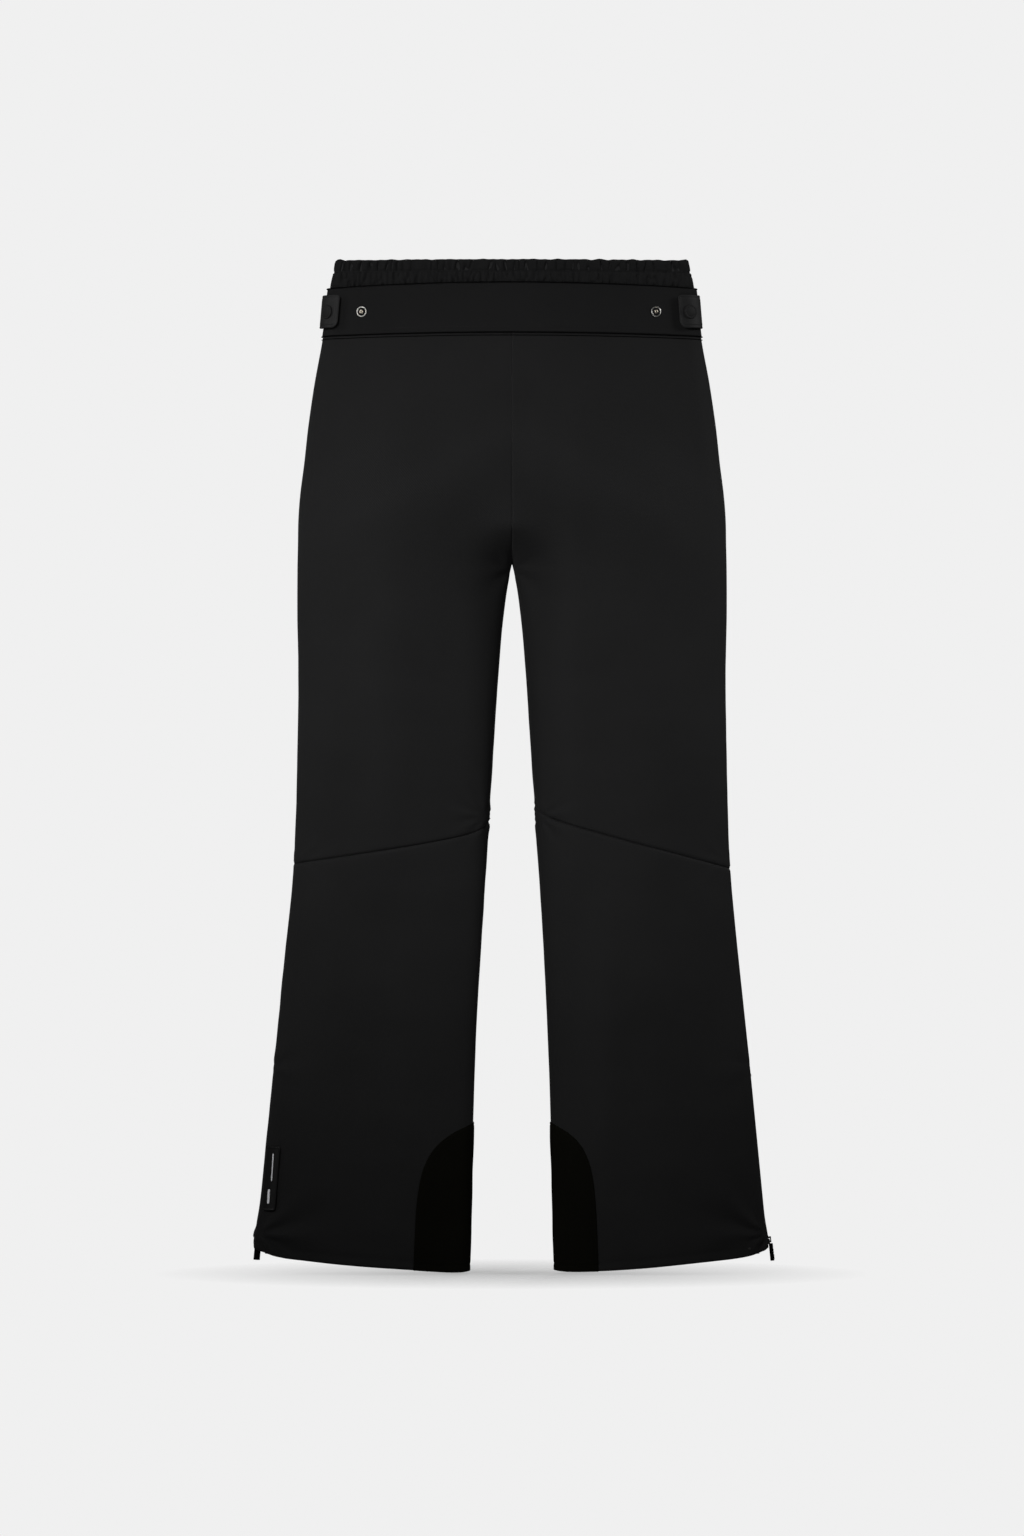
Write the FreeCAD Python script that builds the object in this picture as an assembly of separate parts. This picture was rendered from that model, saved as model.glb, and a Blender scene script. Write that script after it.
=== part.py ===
"""Pull-on ski pants, hanging upright from the waist.

Millimetres. The origin is the centre of the waist's top edge, +Z is up and -Y is the front,
so the wearer's left leg is on the +X side. The garment is slightly flattened: every level is
an oval of four arcs, broad and nearly flat in front and behind and tight at the sides.
A panel is a strip of cloth laid on those ovals. A fabric panel that crosses a hip or a knee
is cut at the level where it starts to fold, and the folding stretch is a node of its own.
"""
import FreeCAD, Part
import math
import os

V = FreeCAD.Vector
RIGHT_ANGLE = math.pi / 2

# ---- driving dimensions: the garment --------------------------------------------------
waist_half = 191.5          # half width of the yoke line at the top edge
yoke_half = waist_half + 11.0       # at the foot of the yoke
seat_half = waist_half + 26.5       # where the hip starts to fold
hip_half = waist_half + 35.5        # at the hip axis
crotch_half = waist_half + 38.5     # at the crotch
knee_outer = 232.5          # outer edge of a leg at the knee
calf_outer = 255.0          # outer edge at the top of the flare
hem_outer = 277.4           # outer edge at the hem
knee_gap = 26.0             # inner edge of a leg at the knee, from the middle
calf_gap = 39.0
hem_gap = 45.5
crotch_gap = 1.5

waist_depth = 43.0          # half depths, front to back
yoke_depth = waist_depth + 7.0
hip_depth = waist_depth + 20.0
crotch_depth = waist_depth + 13.0
knee_depth = 40.0
hem_depth = 36.0

yoke_drop = 80.0            # heights below the top edge
hip_fold_top = 175.0
hip_axis = 250.0
rise = 332.0
outseam = 1082.0
knee_above_hem = 462.0
flare_long = 222.0          # the flare, up from the hem
knee_axis = outseam - knee_above_hem

# ---- cloth ---------------------------------------------------------------------------
cloth = 2.4                 # softshell with its lining
seam_gap = 0.3              # between neighbouring panels
lay_gap = 0.5               # under a piece sewn on top
fold_gap = 0.5              # where a panel hands over to its folding stretch
knee_fold = 60.0            # how far the folding stretch reaches each side of the knee axis
strip_points = 22           # points along one strip at one level
level_step = 46.0           # greatest distance between two levels of a panel

# ---- waist ---------------------------------------------------------------------------
yoke_arch = (-24.0, -31.0)  # height of the yoke's upper edge: middle, sides
yoke_foot = (-78.0, -81.5)
casing_inset = cloth + seam_gap     # the elastic casing lies inside the yoke's cloth
casing_wall = 1.3
casing_tuck = 3.0           # hidden under the yoke's edge
elastic_thick = 2.6
elastic_clear = 0.3
piping_wide = 2.6
piping_proud = 1.3

# ---- snap tabs -----------------------------------------------------------------------
waist_turn = 3.5            # the waist hangs turned this far towards the wearer's right
stud_from_middle = 158.5    # free stud, measured round the front
stud_pitch = 36.0           # from the free stud to the closed one under the tab
stud_height = -55.8
stud_flange_r = 5.5
stud_flange_thick = 0.8
stud_post_r = 2.8
stud_post_high = 2.4
stud_shank_r = 1.8
shank_clear = 0.2
washer_r = 5.0
washer_thick = 0.8
socket_r = 6.2
socket_side_clear = 1.8     # the spring mouth at its opened size
socket_lift = 1.1
socket_high = 2.2
socket_roof = 0.5
cap_r = 7.75
cap_thick = 1.6
cap_round = 0.9
tab_thick = 2.2
tab_lift = 3.5              # over the snap
tab_root_lift = 0.5
tab_top = -37.5
tab_bottom = -72.8
tab_beyond_cap = 11.5
tab_flat_share = 0.46       # share of the tab that stays level before it dips to its root
tab_corner = 9.0
root_turn = math.radians(91.0)

# ---- ankle zips ----------------------------------------------------------------------
zip_turns = {1: math.radians(90.0), -1: math.radians(128.0)}
zip_foot = 35.0 - outseam   # middle of the slider when closed
zip_travel = 170.0
zip_notch = 5.2             # half width of the gap between the cloth edges
chain_half = 2.9
chain_slot = 0.8
chain_thick = 2.0
chain_depth = 0.6           # chain face under the cloth's outer face
tape_half = 14.0
tape_thick = 0.8
tape_lay = 0.3
slider_long = 9.6
slider_half = 4.3
slider_plate = 1.4
slider_clear = 0.4
flange_wide = 0.9
divider_thick = 0.5
divider_long = 3.0
bail_half = 1.0
bail_long = 6.4
bail_bar = 1.2
pin_r = 0.7
pin_clear = 0.5
pull_long = 18.7
pull_half = 3.2
pull_thick = 3.4
pull_neck = 4.2
stop_long = 3.0
stop_gap = 0.6

# ---- lower leg trims -----------------------------------------------------------------
hem_side = 29.0 - outseam   # the hem line: outer corner, lowest point, inner corner
hem_corner = 21.0 - outseam
hem_low = -outseam
hem_inner = 4.0 - outseam
hem_corner_in = 9.0
hem_low_from_gap = 40.0
guard_top = 161.0 - outseam
guard_heel = 6.0 - outseam
guard_reach = 67.0
guard_thick = 1.0
guard_tip = 4.0             # half its length round the leg at the very top
guard_swell = 4.4           # how soon it reaches its full length
guard_curve = 0.68
guard_levels = 14
gaiter_top = 157.0 - outseam
gaiter_foot = 20.0 - outseam
gaiter_inset_top = 4.0
gaiter_inset_foot = 8.0
gaiter_cloth = 1.2
gaiter_band_high = 22.0
gaiter_band_thick = 1.8
patch_middle = 99.0 - outseam
patch_long = 66.0
patch_wide = 17.0
patch_from_side = 20.5
patch_thick = 1.6
rivet_height = 26.0 - outseam
rivet_from_side = 32.0
rivet_r = 1.9
rivet_thick = 0.9

thigh_span = knee_axis - knee_fold - rise

# ---- levels: height, outer edge, inner edge, half depth, corner radius ------------------
LEVELS = (
    (0.0, waist_half, -waist_half, waist_depth, 18.0),
    (-30.0, waist_half + 5.5, -waist_half - 5.5, waist_depth + 2.5, 19.0),
    (-yoke_drop, yoke_half, -yoke_half, yoke_depth, 22.0),
    (-130.0, (yoke_half + seat_half) / 2 + 1.5, -(yoke_half + seat_half) / 2 - 1.5,
     (yoke_depth + hip_depth) / 2, 27.0),
    (-hip_fold_top, seat_half, -seat_half, hip_depth - 2.5, 31.0),
    (-hip_axis + 35.0, hip_half - 5.0, -150.0, hip_depth, 33.0),
    (-hip_axis, hip_half, -80.0, hip_depth, 34.0),
    (-rise + 55.0, hip_half + 2.0, -32.0, hip_depth - 1.5, 34.0),
    (-rise + 28.0, crotch_half - 0.5, -9.0, crotch_depth + 3.0, 32.0),
    (-rise, crotch_half, crotch_gap, crotch_depth, 30.0),
    (-rise - 0.22 * thigh_span, crotch_half, crotch_gap + 7.5, crotch_depth - 3.5, 29.0),
    (-rise - 0.48 * thigh_span, crotch_half - 1.0, crotch_gap + 13.0, crotch_depth - 7.5, 27.0),
    (-knee_axis + knee_fold, knee_outer - 2.0, knee_gap - 3.5, knee_depth + 3.0, 24.0),
    (-knee_axis, knee_outer, knee_gap, knee_depth, 22.0),
    (-knee_axis - knee_fold, knee_outer + 4.0, knee_gap + 4.5, knee_depth - 1.5, 21.0),
    (flare_long - outseam, calf_outer, calf_gap, hem_depth + 0.5, 20.0),
    (-outseam - 8.0, hem_outer, hem_gap, hem_depth, 20.0),
)
SIDES = (("left", 1), ("right", -1))
FACES = (("front", 1), ("back", -1))


def outline(z):
    """Outer edge, inner edge, half depth and corner radius of the garment at a height."""
    for upper, lower in zip(LEVELS, LEVELS[1:]):
        if z >= lower[0]:
            break
    share = (upper[0] - z) / (upper[0] - lower[0])
    return [a + (b - a) * share for a, b in zip(upper[1:], lower[1:])]


def oval(z):
    """The four-arc oval: middle, corner offset, corner radius, flat radius, depth, join angle."""
    outer, inner, depth, corner = outline(z)
    offset = (outer - inner) / 2 - corner
    flat = (offset ** 2 + depth ** 2 - corner ** 2) / (2 * (depth - corner))
    return (outer + inner) / 2, offset, corner, flat, depth, math.atan2(offset, flat - depth)


def turn_at(z, way):
    """Direction the cloth faces after going a distance round from the oval's front middle."""
    _, _, corner, flat, _, join = oval(z)
    front = flat * join
    side = corner * (math.pi - 2 * join)
    far = abs(way)
    if far <= front:
        turn = far / flat
    elif far <= front + side:
        turn = join + (far - front) / corner
    else:
        turn = math.pi - join + (far - front - side) / flat
    return math.copysign(turn, way)


def way_at(z, turn):
    """The distance round from the oval's front middle to where the cloth faces a direction."""
    _, _, corner, flat, _, join = oval(z)
    far = abs(turn)
    if far <= join:
        way = flat * far
    elif far <= math.pi - join:
        way = flat * join + corner * (far - join)
    else:
        way = flat * join + corner * (math.pi - 2 * join) + flat * (far - math.pi + join)
    return math.copysign(way, turn)


def point(z, turn, lift=0.0, side=1, face=1):
    """A point of the oval, lifted off it, on one leg side and on the front or the back."""
    middle, offset, corner, flat, depth, join = oval(z)
    if abs(turn) <= join:
        cx, cy, radius = middle, flat - depth, flat
    elif abs(turn) >= math.pi - join:
        cx, cy, radius = middle, depth - flat, flat
    else:
        cx, cy, radius = middle + math.copysign(offset, turn), 0.0, corner
    radius += lift
    return V(side * (cx + radius * math.sin(turn)), face * (cy - radius * math.cos(turn)), z)


def seam_turn(z):
    """Where the front meets its neighbour at the middle seam or, lower down, the inseam."""
    middle, offset, corner, flat, _, join = oval(z)
    gap = seam_gap / 2
    if middle - offset - corner >= gap:
        return -RIGHT_ANGLE + gap / corner
    at_flat = (gap - middle) / flat
    if at_flat >= -math.sin(join):
        return math.asin(at_flat)
    at_corner = (gap - middle + offset) / corner
    return max(math.asin(max(at_corner, -1.0)), -RIGHT_ANGLE + gap / corner)


def half_edges(z):
    """A half panel's two edges: the middle seam or inseam, and the outseam."""
    corner = oval(z)[2]
    return way_at(z, seam_turn(z)), way_at(z, RIGHT_ANGLE - seam_gap / 2 / corner)


def heights(top, foot):
    """The levels from one height down to another, both ends included, none far apart."""
    marks = [top] + [row[0] for row in LEVELS if top - 0.5 > row[0] > foot + 0.5] + [foot]
    levels = [top]
    for upper, lower in zip(marks, marks[1:]):
        steps = math.ceil((upper - lower) / level_step)
        levels += [upper + (lower - upper) * step / steps for step in range(1, steps + 1)]
    return levels


def solid(shape):
    """The same shape with its volume counted positive."""
    if shape.Volume < 0:
        shape.reverse()
    return shape


def strip_wire(outer, inner):
    """A closed section of a strip, from its outer and its inner run of points."""
    edges = []
    for run in (outer, list(reversed(inner))):
        curve = Part.BSplineCurve()
        curve.interpolate(run)
        edges.append(curve.toShape())
    edges.insert(1, Part.makeLine(outer[-1], inner[-1]))
    edges.append(Part.makeLine(inner[0], outer[0]))
    return Part.Wire(edges)


def strip(levels, edges, lift, thick, side=1, face=1):
    """Cloth laid on the ovals between two edges; lift may change from one edge to the other."""
    raised = lift if callable(lift) else lambda share: lift
    wires = []
    for z in levels:
        start, end = edges(z)
        outer, inner = [], []
        for step in range(strip_points + 1):
            share = step / strip_points
            turn = turn_at(z, start + (end - start) * share)
            inner.append(point(z, turn, raised(share), side, face))
            outer.append(point(z, turn, raised(share) + thick, side, face))
        wires.append(strip_wire(outer, inner))
    return solid(Part.makeLoft(wires, True, True))


def loop(z, lift, side=1):
    """The whole oval at a height as a closed wire of four arcs."""
    join = oval(z)[5]
    ends = [-join, join, math.pi - join, math.pi + join, 2 * math.pi - join]
    arcs = []
    for a, b in zip(ends, ends[1:]):
        turns = [math.remainder(t, 2 * math.pi) for t in (a, (a + b) / 2, b)]
        arcs.append(Part.Arc(*[point(z, t, lift, side) for t in turns]).toShape())
    return Part.Wire(arcs)


def tube(levels, lift, thick, side=1):
    """A closed band round the whole oval, its outer face lifted by lift, thick inwards.

    A lift is a number or a function of the height.
    """
    at = lift if callable(lift) else lambda z: lift
    skin = Part.makeLoft([loop(z, at(z), side) for z in levels], True, True)
    inside = [levels[0] + 1.0] + list(levels[1:-1]) + [levels[-1] - 1.0]
    hollow = [loop(min(z, 0.0), at(z) - thick, side) for z in levels]
    hollow[0].translate(V(0, 0, inside[0] - levels[0]))
    hollow[-1].translate(V(0, 0, inside[-1] - levels[-1]))
    return solid(solid(skin).cut(solid(Part.makeLoft(hollow, True, True))))


def arch_slab(top, foot, near, far):
    """The space between two arches, each (middle, sides), from one depth to another."""
    reach = 2 * waist_half

    def arch(heights_pair):
        middle, sides = heights_pair
        bow = (middle - sides) * (reach / waist_half) ** 2
        return Part.Arc(V(-reach, near, middle - bow), V(0, near, middle),
                        V(reach, near, middle - bow)).toShape()

    upper = arch(top) if top[0] != top[1] else Part.makeLine(V(-reach, near, top[0]),
                                                             V(reach, near, top[0]))
    lower = arch(foot) if foot[0] != foot[1] else Part.makeLine(V(-reach, near, foot[0]),
                                                               V(reach, near, foot[0]))
    ends = [Part.makeLine(upper.Vertexes[-1].Point, lower.Vertexes[-1].Point),
            Part.makeLine(lower.Vertexes[0].Point, upper.Vertexes[0].Point)]
    face = Part.Face(Part.Wire(Part.__sortEdges__([upper, ends[0], lower, ends[1]])))
    return solid(face.extrude(V(0, far - near, 0)))


def shifted(pair, step):
    """An arch moved up or down."""
    return pair[0] + step, pair[1] + step


def whole_slab(top, foot):
    return arch_slab(top, foot, -200.0, 200.0)


def face_slab(top, foot, face):
    """The part of an arch slab on the front or the back."""
    near, far = (-200.0, -seam_gap / 2) if face == 1 else (seam_gap / 2, 200.0)
    return arch_slab(top, foot, near, far)


# ---- local frames: X outwards, Y along the surface, Z up along it ----------------------
def frame_on(z, turn, side, up=None):
    """A frame on the oval, its origin on the cloth's outer face."""
    out = V(side * math.sin(turn), -math.cos(turn), 0)
    rise_way = up or V(0, 0, 1)
    out = (out - rise_way * out.dot(rise_way)).normalize()
    along = rise_way.cross(out)
    spot = point(z, turn, 0.0, side)
    matrix = FreeCAD.Matrix(out.x, along.x, rise_way.x, spot.x,
                            out.y, along.y, rise_way.y, spot.y,
                            out.z, along.z, rise_way.z, spot.z, 0, 0, 0, 1)
    return FreeCAD.Placement(matrix)


def leaning_frame(z, turn, side):
    """A frame that leans with the cloth, for a piece that sits flat on it."""
    way, step = way_at(z, turn), 10.0
    upper = point(z + step, turn_at(z + step, way), 0.0, side)
    lower = point(z - step, turn_at(z - step, way), 0.0, side)
    return frame_on(z, turn, side, (upper - lower).normalize())


def placed(shape, place):
    """A shape made in a local frame, put where the frame is."""
    moved = shape.copy()
    moved.Placement = place.multiply(moved.Placement)
    return moved


def disc(radius, low, high):
    """A round piece standing out along local X, from one lift to another."""
    return Part.makeCylinder(radius, high - low, V(low, 0, 0), V(1, 0, 0))


def block(low, high):
    """A box from its low corner to its high corner, in a local frame."""
    size = [b - a for a, b in zip(low, high)]
    return Part.makeBox(size[0], size[1], size[2], V(*low))


# ---- waist -----------------------------------------------------------------------------
def stud_turns(side):
    """Where the free stud and the closed stud face, round the waist."""
    free = stud_from_middle - side * waist_turn
    return turn_at(stud_height, free), turn_at(stud_height, free + stud_pitch)


def casing_and_elastic():
    """The gathered tube of cloth round the waist, open below, with the elastic inside it."""
    levels = [0.0, -30.0, -40.0]
    wall = 2 * casing_wall + elastic_thick + 2 * elastic_clear
    room_lift = -casing_inset - casing_wall
    room = tube([0.0, -30.0, -40.0], room_lift, elastic_thick + 2 * elastic_clear)
    below = shifted(yoke_arch, -casing_tuck)
    casing = tube(levels, -casing_inset, wall).common(whole_slab((5.0, 5.0), below))
    room_slab = whole_slab((-casing_wall, -casing_wall), (-60.0, -60.0))
    elastic = tube(levels, room_lift - elastic_clear, elastic_thick)
    elastic_slab = whole_slab((-casing_wall - elastic_clear,) * 2, below)
    return casing.cut(room.common(room_slab)), elastic.common(elastic_slab)


def yoke(face):
    """The smooth facing under the elastic, drilled for its studs."""
    band = tube([-15.0, -30.0, -yoke_drop, -95.0], 0.0, cloth)
    band = band.common(face_slab(yoke_arch, yoke_foot, face))
    if face == 1:
        for _, side in SIDES:
            for turn in stud_turns(side):
                hole = disc(stud_shank_r + shank_clear, -2 * cloth, 2 * cloth)
                band = band.cut(placed(hole, leaning_frame(stud_height, turn, side)))
    return band


def piping(arch):
    """A raised welt round the waist along one arched edge."""
    band = tube([-15.0, -30.0, -yoke_drop, -95.0], lay_gap + piping_proud, piping_proud)
    half = piping_wide / 2
    return band.common(whole_slab(shifted(arch, half), shifted(arch, -half)))


def stud(turn, side):
    """One snap stud: a flange on the cloth, a post, and a shank through the cloth."""
    body = disc(stud_flange_r, 0.0, stud_flange_thick)
    body = body.fuse(disc(stud_post_r, stud_flange_thick, stud_post_high))
    body = body.fuse(disc(stud_shank_r, -cloth - washer_thick, 0.0))
    return placed(body.removeSplitter(), leaning_frame(stud_height, turn, side))


def washer(turn, side):
    """The backing washer behind one stud."""
    inner = leaning_frame(stud_height, turn, side)
    ring = disc(washer_r, -cloth - washer_thick - lay_gap, -cloth - lay_gap)
    ring = ring.cut(disc(stud_shank_r + shank_clear, -3 * cloth, 0.0))
    curve_room = tube([-30.0, -yoke_drop], 0.0, cloth + 0.1)
    return placed(ring, inner).cut(curve_room)


def tab_edges(side):
    """The tab's free end and its sewn root, as distances round the waist."""
    def edges(z):
        cap = way_at(z, stud_turns(side)[1])
        return cap - tab_beyond_cap, way_at(z, root_turn)
    return edges


def tab(side):
    """The adjusting tab: sewn at the side seam, with its snap near the free end."""
    def lift(share):
        late = max(0.0, (share - tab_flat_share) / (1 - tab_flat_share))
        return tab_lift + (tab_root_lift - tab_lift) * late * late * (3 - 2 * late)

    flap = strip([tab_top, tab_bottom], tab_edges(side), lift, tab_thick, side)
    place = leaning_frame(stud_height, stud_turns(side)[1], side)
    flap = flap.cut(placed(disc(socket_r + seam_gap, -5.0, tab_lift), place))
    flap = flap.cut(placed(disc(stud_shank_r + shank_clear, 0.0, 12.0), place))
    return flap.common(rounded_end(side))


def rounded_end(side):
    """The tab's outline seen from the front: two rounded corners at the free end."""
    z = (tab_top + tab_bottom) / 2
    free = point(z, turn_at(z, tab_edges(side)(z)[0]), tab_lift, side)
    x0, x1 = abs(free.x) - 1.0, waist_half + 40.0
    r = tab_corner
    a, b = tab_top + 1.0, tab_bottom - 1.0
    lean = r * (1 - math.sqrt(0.5))
    edges = [Part.makeLine(V(x1, -90, a), V(x0 + r, -90, a)),
             Part.Arc(V(x0 + r, -90, a), V(x0 + lean, -90, a - lean), V(x0, -90, a - r)).toShape(),
             Part.makeLine(V(x0, -90, a - r), V(x0, -90, b + r)),
             Part.Arc(V(x0, -90, b + r), V(x0 + lean, -90, b + lean), V(x0 + r, -90, b)).toShape(),
             Part.makeLine(V(x0 + r, -90, b), V(x1, -90, b)),
             Part.makeLine(V(x1, -90, b), V(x1, -90, a))]
    prism = Part.Face(Part.Wire(edges)).extrude(V(0, 180, 0))
    return solid(prism if side == 1 else prism.mirror(V(0, 0, 0), V(1, 0, 0)))


def tab_cap(side):
    """The snap's visible cap, with its shank through the tab."""
    low = tab_lift + tab_thick + shank_clear
    head = disc(cap_r, low, low + cap_thick)
    rim = [e for e in head.Edges if e.BoundBox.XMin > low + cap_thick - 0.01]
    head = head.makeFillet(cap_round, rim)
    head = head.fuse(disc(stud_shank_r, socket_lift + socket_high, low))
    return placed(head.removeSplitter(), leaning_frame(stud_height, stud_turns(side)[1], side))


def tab_socket(side):
    """The snap's socket under the tab, round the closed stud's post."""
    top = socket_lift + socket_high
    cup = disc(socket_r, socket_lift, top)
    cup = cup.cut(disc(stud_post_r + socket_side_clear, 0.0, top - socket_roof))
    return placed(cup, leaning_frame(stud_height, stud_turns(side)[1], side))


# ---- panels ----------------------------------------------------------------------------
def panel(top, foot, side, face):
    """One cloth panel of one leg, front or back, between two heights."""
    return strip(heights(top, foot), half_edges, -cloth, cloth, side, face)


def seat_panel(side, face):
    """From the yoke down to where the hip starts to fold."""
    cloth_piece = panel(-60.0, -hip_fold_top, side, face)
    return cloth_piece.common(whole_slab(shifted(yoke_foot, -fold_gap), (-400.0, -400.0)))


def hem_cutter(side):
    """Everything below the curved hem line of one leg."""
    outer, inner, _, _ = outline(hem_side)
    run = [V(side * (outer + 6.0), -90, hem_side + 4.0),
           V(side * (outer - hem_corner_in), -90, hem_corner),
           V(side * (outer + inner) / 2, -90, (hem_low + hem_corner) / 2 - 5.0),
           V(side * (inner + hem_low_from_gap), -90, hem_low),
           V(side * (inner - 6.0), -90, hem_inner)]
    curve = Part.BSplineCurve()
    curve.interpolate(run)
    floor = hem_low - 40.0
    edges = [curve.toShape(),
             Part.makeLine(run[-1], V(run[-1].x, -90, floor)),
             Part.makeLine(V(run[-1].x, -90, floor), V(run[0].x, -90, floor)),
             Part.makeLine(V(run[0].x, -90, floor), run[0])]
    return solid(Part.Face(Part.Wire(edges)).extrude(V(0, 180, 0)))


def lower_leg(side, face):
    """From below the knee to the hem, notched at the outseam for the zip."""
    foot = -outseam - 2.0
    cloth_piece = panel(-knee_axis - knee_fold - fold_gap, foot, side, face)
    top_of_notch = slider_long / 2 + zip_travel + stop_long + stop_gap * 3
    notch = block((-12.0, -zip_notch, -60.0), (12.0, zip_notch, top_of_notch))
    return cloth_piece.cut(hem_cutter(side)).cut(placed(notch, zip_frame(side)))


# ---- ankle zip -------------------------------------------------------------------------
def zip_frame(side):
    """The frame of one zip, its origin at the closed slider, Z up along the chain."""
    turn = zip_turns[side]
    upper = point(zip_foot + zip_travel, turn, 0.0, side)
    lower = point(zip_foot, turn, 0.0, side)
    return frame_on(zip_foot, turn, side, (upper - lower).normalize())


def zip_chain(side):
    """The two half chains, apart by the slot that the slider's divider runs in."""
    foot, top = -slider_long / 2, slider_long / 2 + zip_travel
    halves = []
    for way in (1, -1):
        a, b = sorted((way * chain_slot / 2, way * chain_half))
        halves.append(block((-chain_depth - chain_thick, a, foot), (-chain_depth, b, top)))
    return placed(Part.makeCompound(halves), zip_frame(side))


def zip_tape(side):
    """The two woven tapes behind the cloth's edges, split at the chain."""
    face_lift = -cloth - tape_lay
    top = zip_foot + zip_travel + 12.0
    foot = zip_foot - slider_long / 2
    turn = zip_turns[side]

    def edges(z):
        way = way_at(z, turn)
        return way - tape_half, way + tape_half

    band = strip([top, foot], edges, face_lift - tape_thick, tape_thick, side)
    slot = block((-20.0, -chain_slot / 2, -40.0), (20.0, chain_slot / 2, zip_travel + 40.0))
    return band.cut(placed(slot, zip_frame(side)))


def zip_stops(side):
    """The top stop across the chain's end and the two stops at its foot."""
    top = slider_long / 2 + zip_travel + stop_gap
    low, high = -chain_depth - chain_thick, -chain_depth + 0.4
    pieces = [block((low, -chain_half, top), (high, chain_half, top + stop_long))]
    foot = -slider_long / 2 - stop_gap
    for way in (1, -1):
        a, b = sorted((way * chain_slot / 2, way * chain_half))
        pieces.append(block((low, a, foot - stop_long), (high, b, foot)))
    return placed(Part.makeCompound(pieces), zip_frame(side))


def zip_slider(side):
    """The slider: two plates, flanges beside the chain, the divider and the pull's bail."""
    half = slider_long / 2
    deck = -chain_depth + slider_clear
    tape_back = -cloth - tape_lay - tape_thick - 0.9
    body = block((deck, -slider_half, -half), (deck + slider_plate, slider_half, half))
    body = body.fuse(block((tape_back - slider_plate, -slider_half, -half),
                           (tape_back, slider_half, half)))
    for way in (1, -1):
        a, b = sorted((way * (slider_half - flange_wide), way * slider_half))
        body = body.fuse(block((-cloth, a, -half), (deck, b, half)))
    body = body.fuse(block((tape_back, -divider_thick / 2, -half),
                           (deck, divider_thick / 2, -half + divider_long)))
    top = deck + slider_plate
    bail = block((top, -bail_half, -bail_long / 2),
                 (pin_lift() + pin_r + pin_clear + bail_bar, bail_half, bail_long / 2))
    window = pin_r + pin_clear
    bail = bail.cut(block((top, -9.0, -window), (pin_lift() + window, 9.0, window)))
    return placed(body.fuse(bail).removeSplitter(), zip_frame(side))


def pin_lift():
    """Height of the pull's pin over the cloth's outer face."""
    return -chain_depth + slider_clear + slider_plate + pin_clear + pin_r


def zip_pull(side):
    """The pull: a pin through the bail, two arms past it and the grip below."""
    arm_in = bail_half + pin_clear
    arm_out = arm_in + 2 * pin_r
    lift = pin_lift()
    link = Part.makeCylinder(pin_r, 2 * arm_out, V(lift, -arm_out, 0), V(0, 1, 0))
    for way in (1, -1):
        a, b = sorted((way * arm_in, way * arm_out))
        link = link.fuse(block((lift - pin_r, a, -pull_neck - 1.0), (lift + pin_r, b, 0.0)))
    grip_low = lift - pin_r
    grip = block((grip_low, -pull_half, -pull_neck - pull_long),
                 (grip_low + pull_thick, pull_half, -pull_neck))
    upright = [e for e in grip.Edges if abs(e.tangentAt(e.FirstParameter).z) > 0.9]
    grip = grip.makeFillet(1.0, upright)
    return placed(link.fuse(grip).removeSplitter(), zip_frame(side))


# ---- lower leg trims -------------------------------------------------------------------
def scuff_guard(side):
    """The tough patch round the inner ankle, pointed at its top."""
    def edges(z):
        down = (guard_top - z) / (guard_top - guard_heel)
        fullness = 1 - math.exp(-guard_swell * min(1.0, down) ** guard_curve)
        reach = guard_tip + (guard_reach - guard_tip) * fullness
        middle = -way_at(z, RIGHT_ANGLE)
        return middle - reach, middle + reach

    span = guard_top - guard_heel
    levels = [guard_top - span * (step / guard_levels) ** 2 for step in range(guard_levels + 1)]
    return strip(levels, edges, lay_gap, guard_thick, side)


def gaiter(side):
    """The snow gaiter inside the leg, narrower towards the boot."""
    def lift(z):
        share = (gaiter_top - z) / (gaiter_top - gaiter_foot)
        return -cloth - gaiter_inset_top - (gaiter_inset_foot - gaiter_inset_top) * share

    return tube([gaiter_top, gaiter_foot], lift, gaiter_cloth, side)


def gaiter_elastic(side):
    """The grip band round the inside of the gaiter's foot."""
    lift = -cloth - gaiter_inset_foot - gaiter_cloth - lay_gap
    return tube([gaiter_foot + gaiter_band_high, gaiter_foot], lift, gaiter_band_thick, side)


def label_patch():
    """A moulded patch near the outer edge of the wearer's right leg, in front."""
    def edges(z):
        side_way = way_at(z, RIGHT_ANGLE)
        return side_way - patch_from_side - patch_wide / 2, side_way - patch_from_side + patch_wide / 2

    levels = [patch_middle + patch_long / 2, patch_middle - patch_long / 2]
    return strip(levels, edges, lay_gap, patch_thick, -1)


def hem_rivet():
    """The small rivet in front, near the outer hem of the wearer's left leg."""
    turn = turn_at(rivet_height, way_at(rivet_height, RIGHT_ANGLE) - rivet_from_side)
    head = disc(rivet_r, 0.2, 0.2 + rivet_thick)
    return placed(head, leaning_frame(rivet_height, turn, 1))


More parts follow.
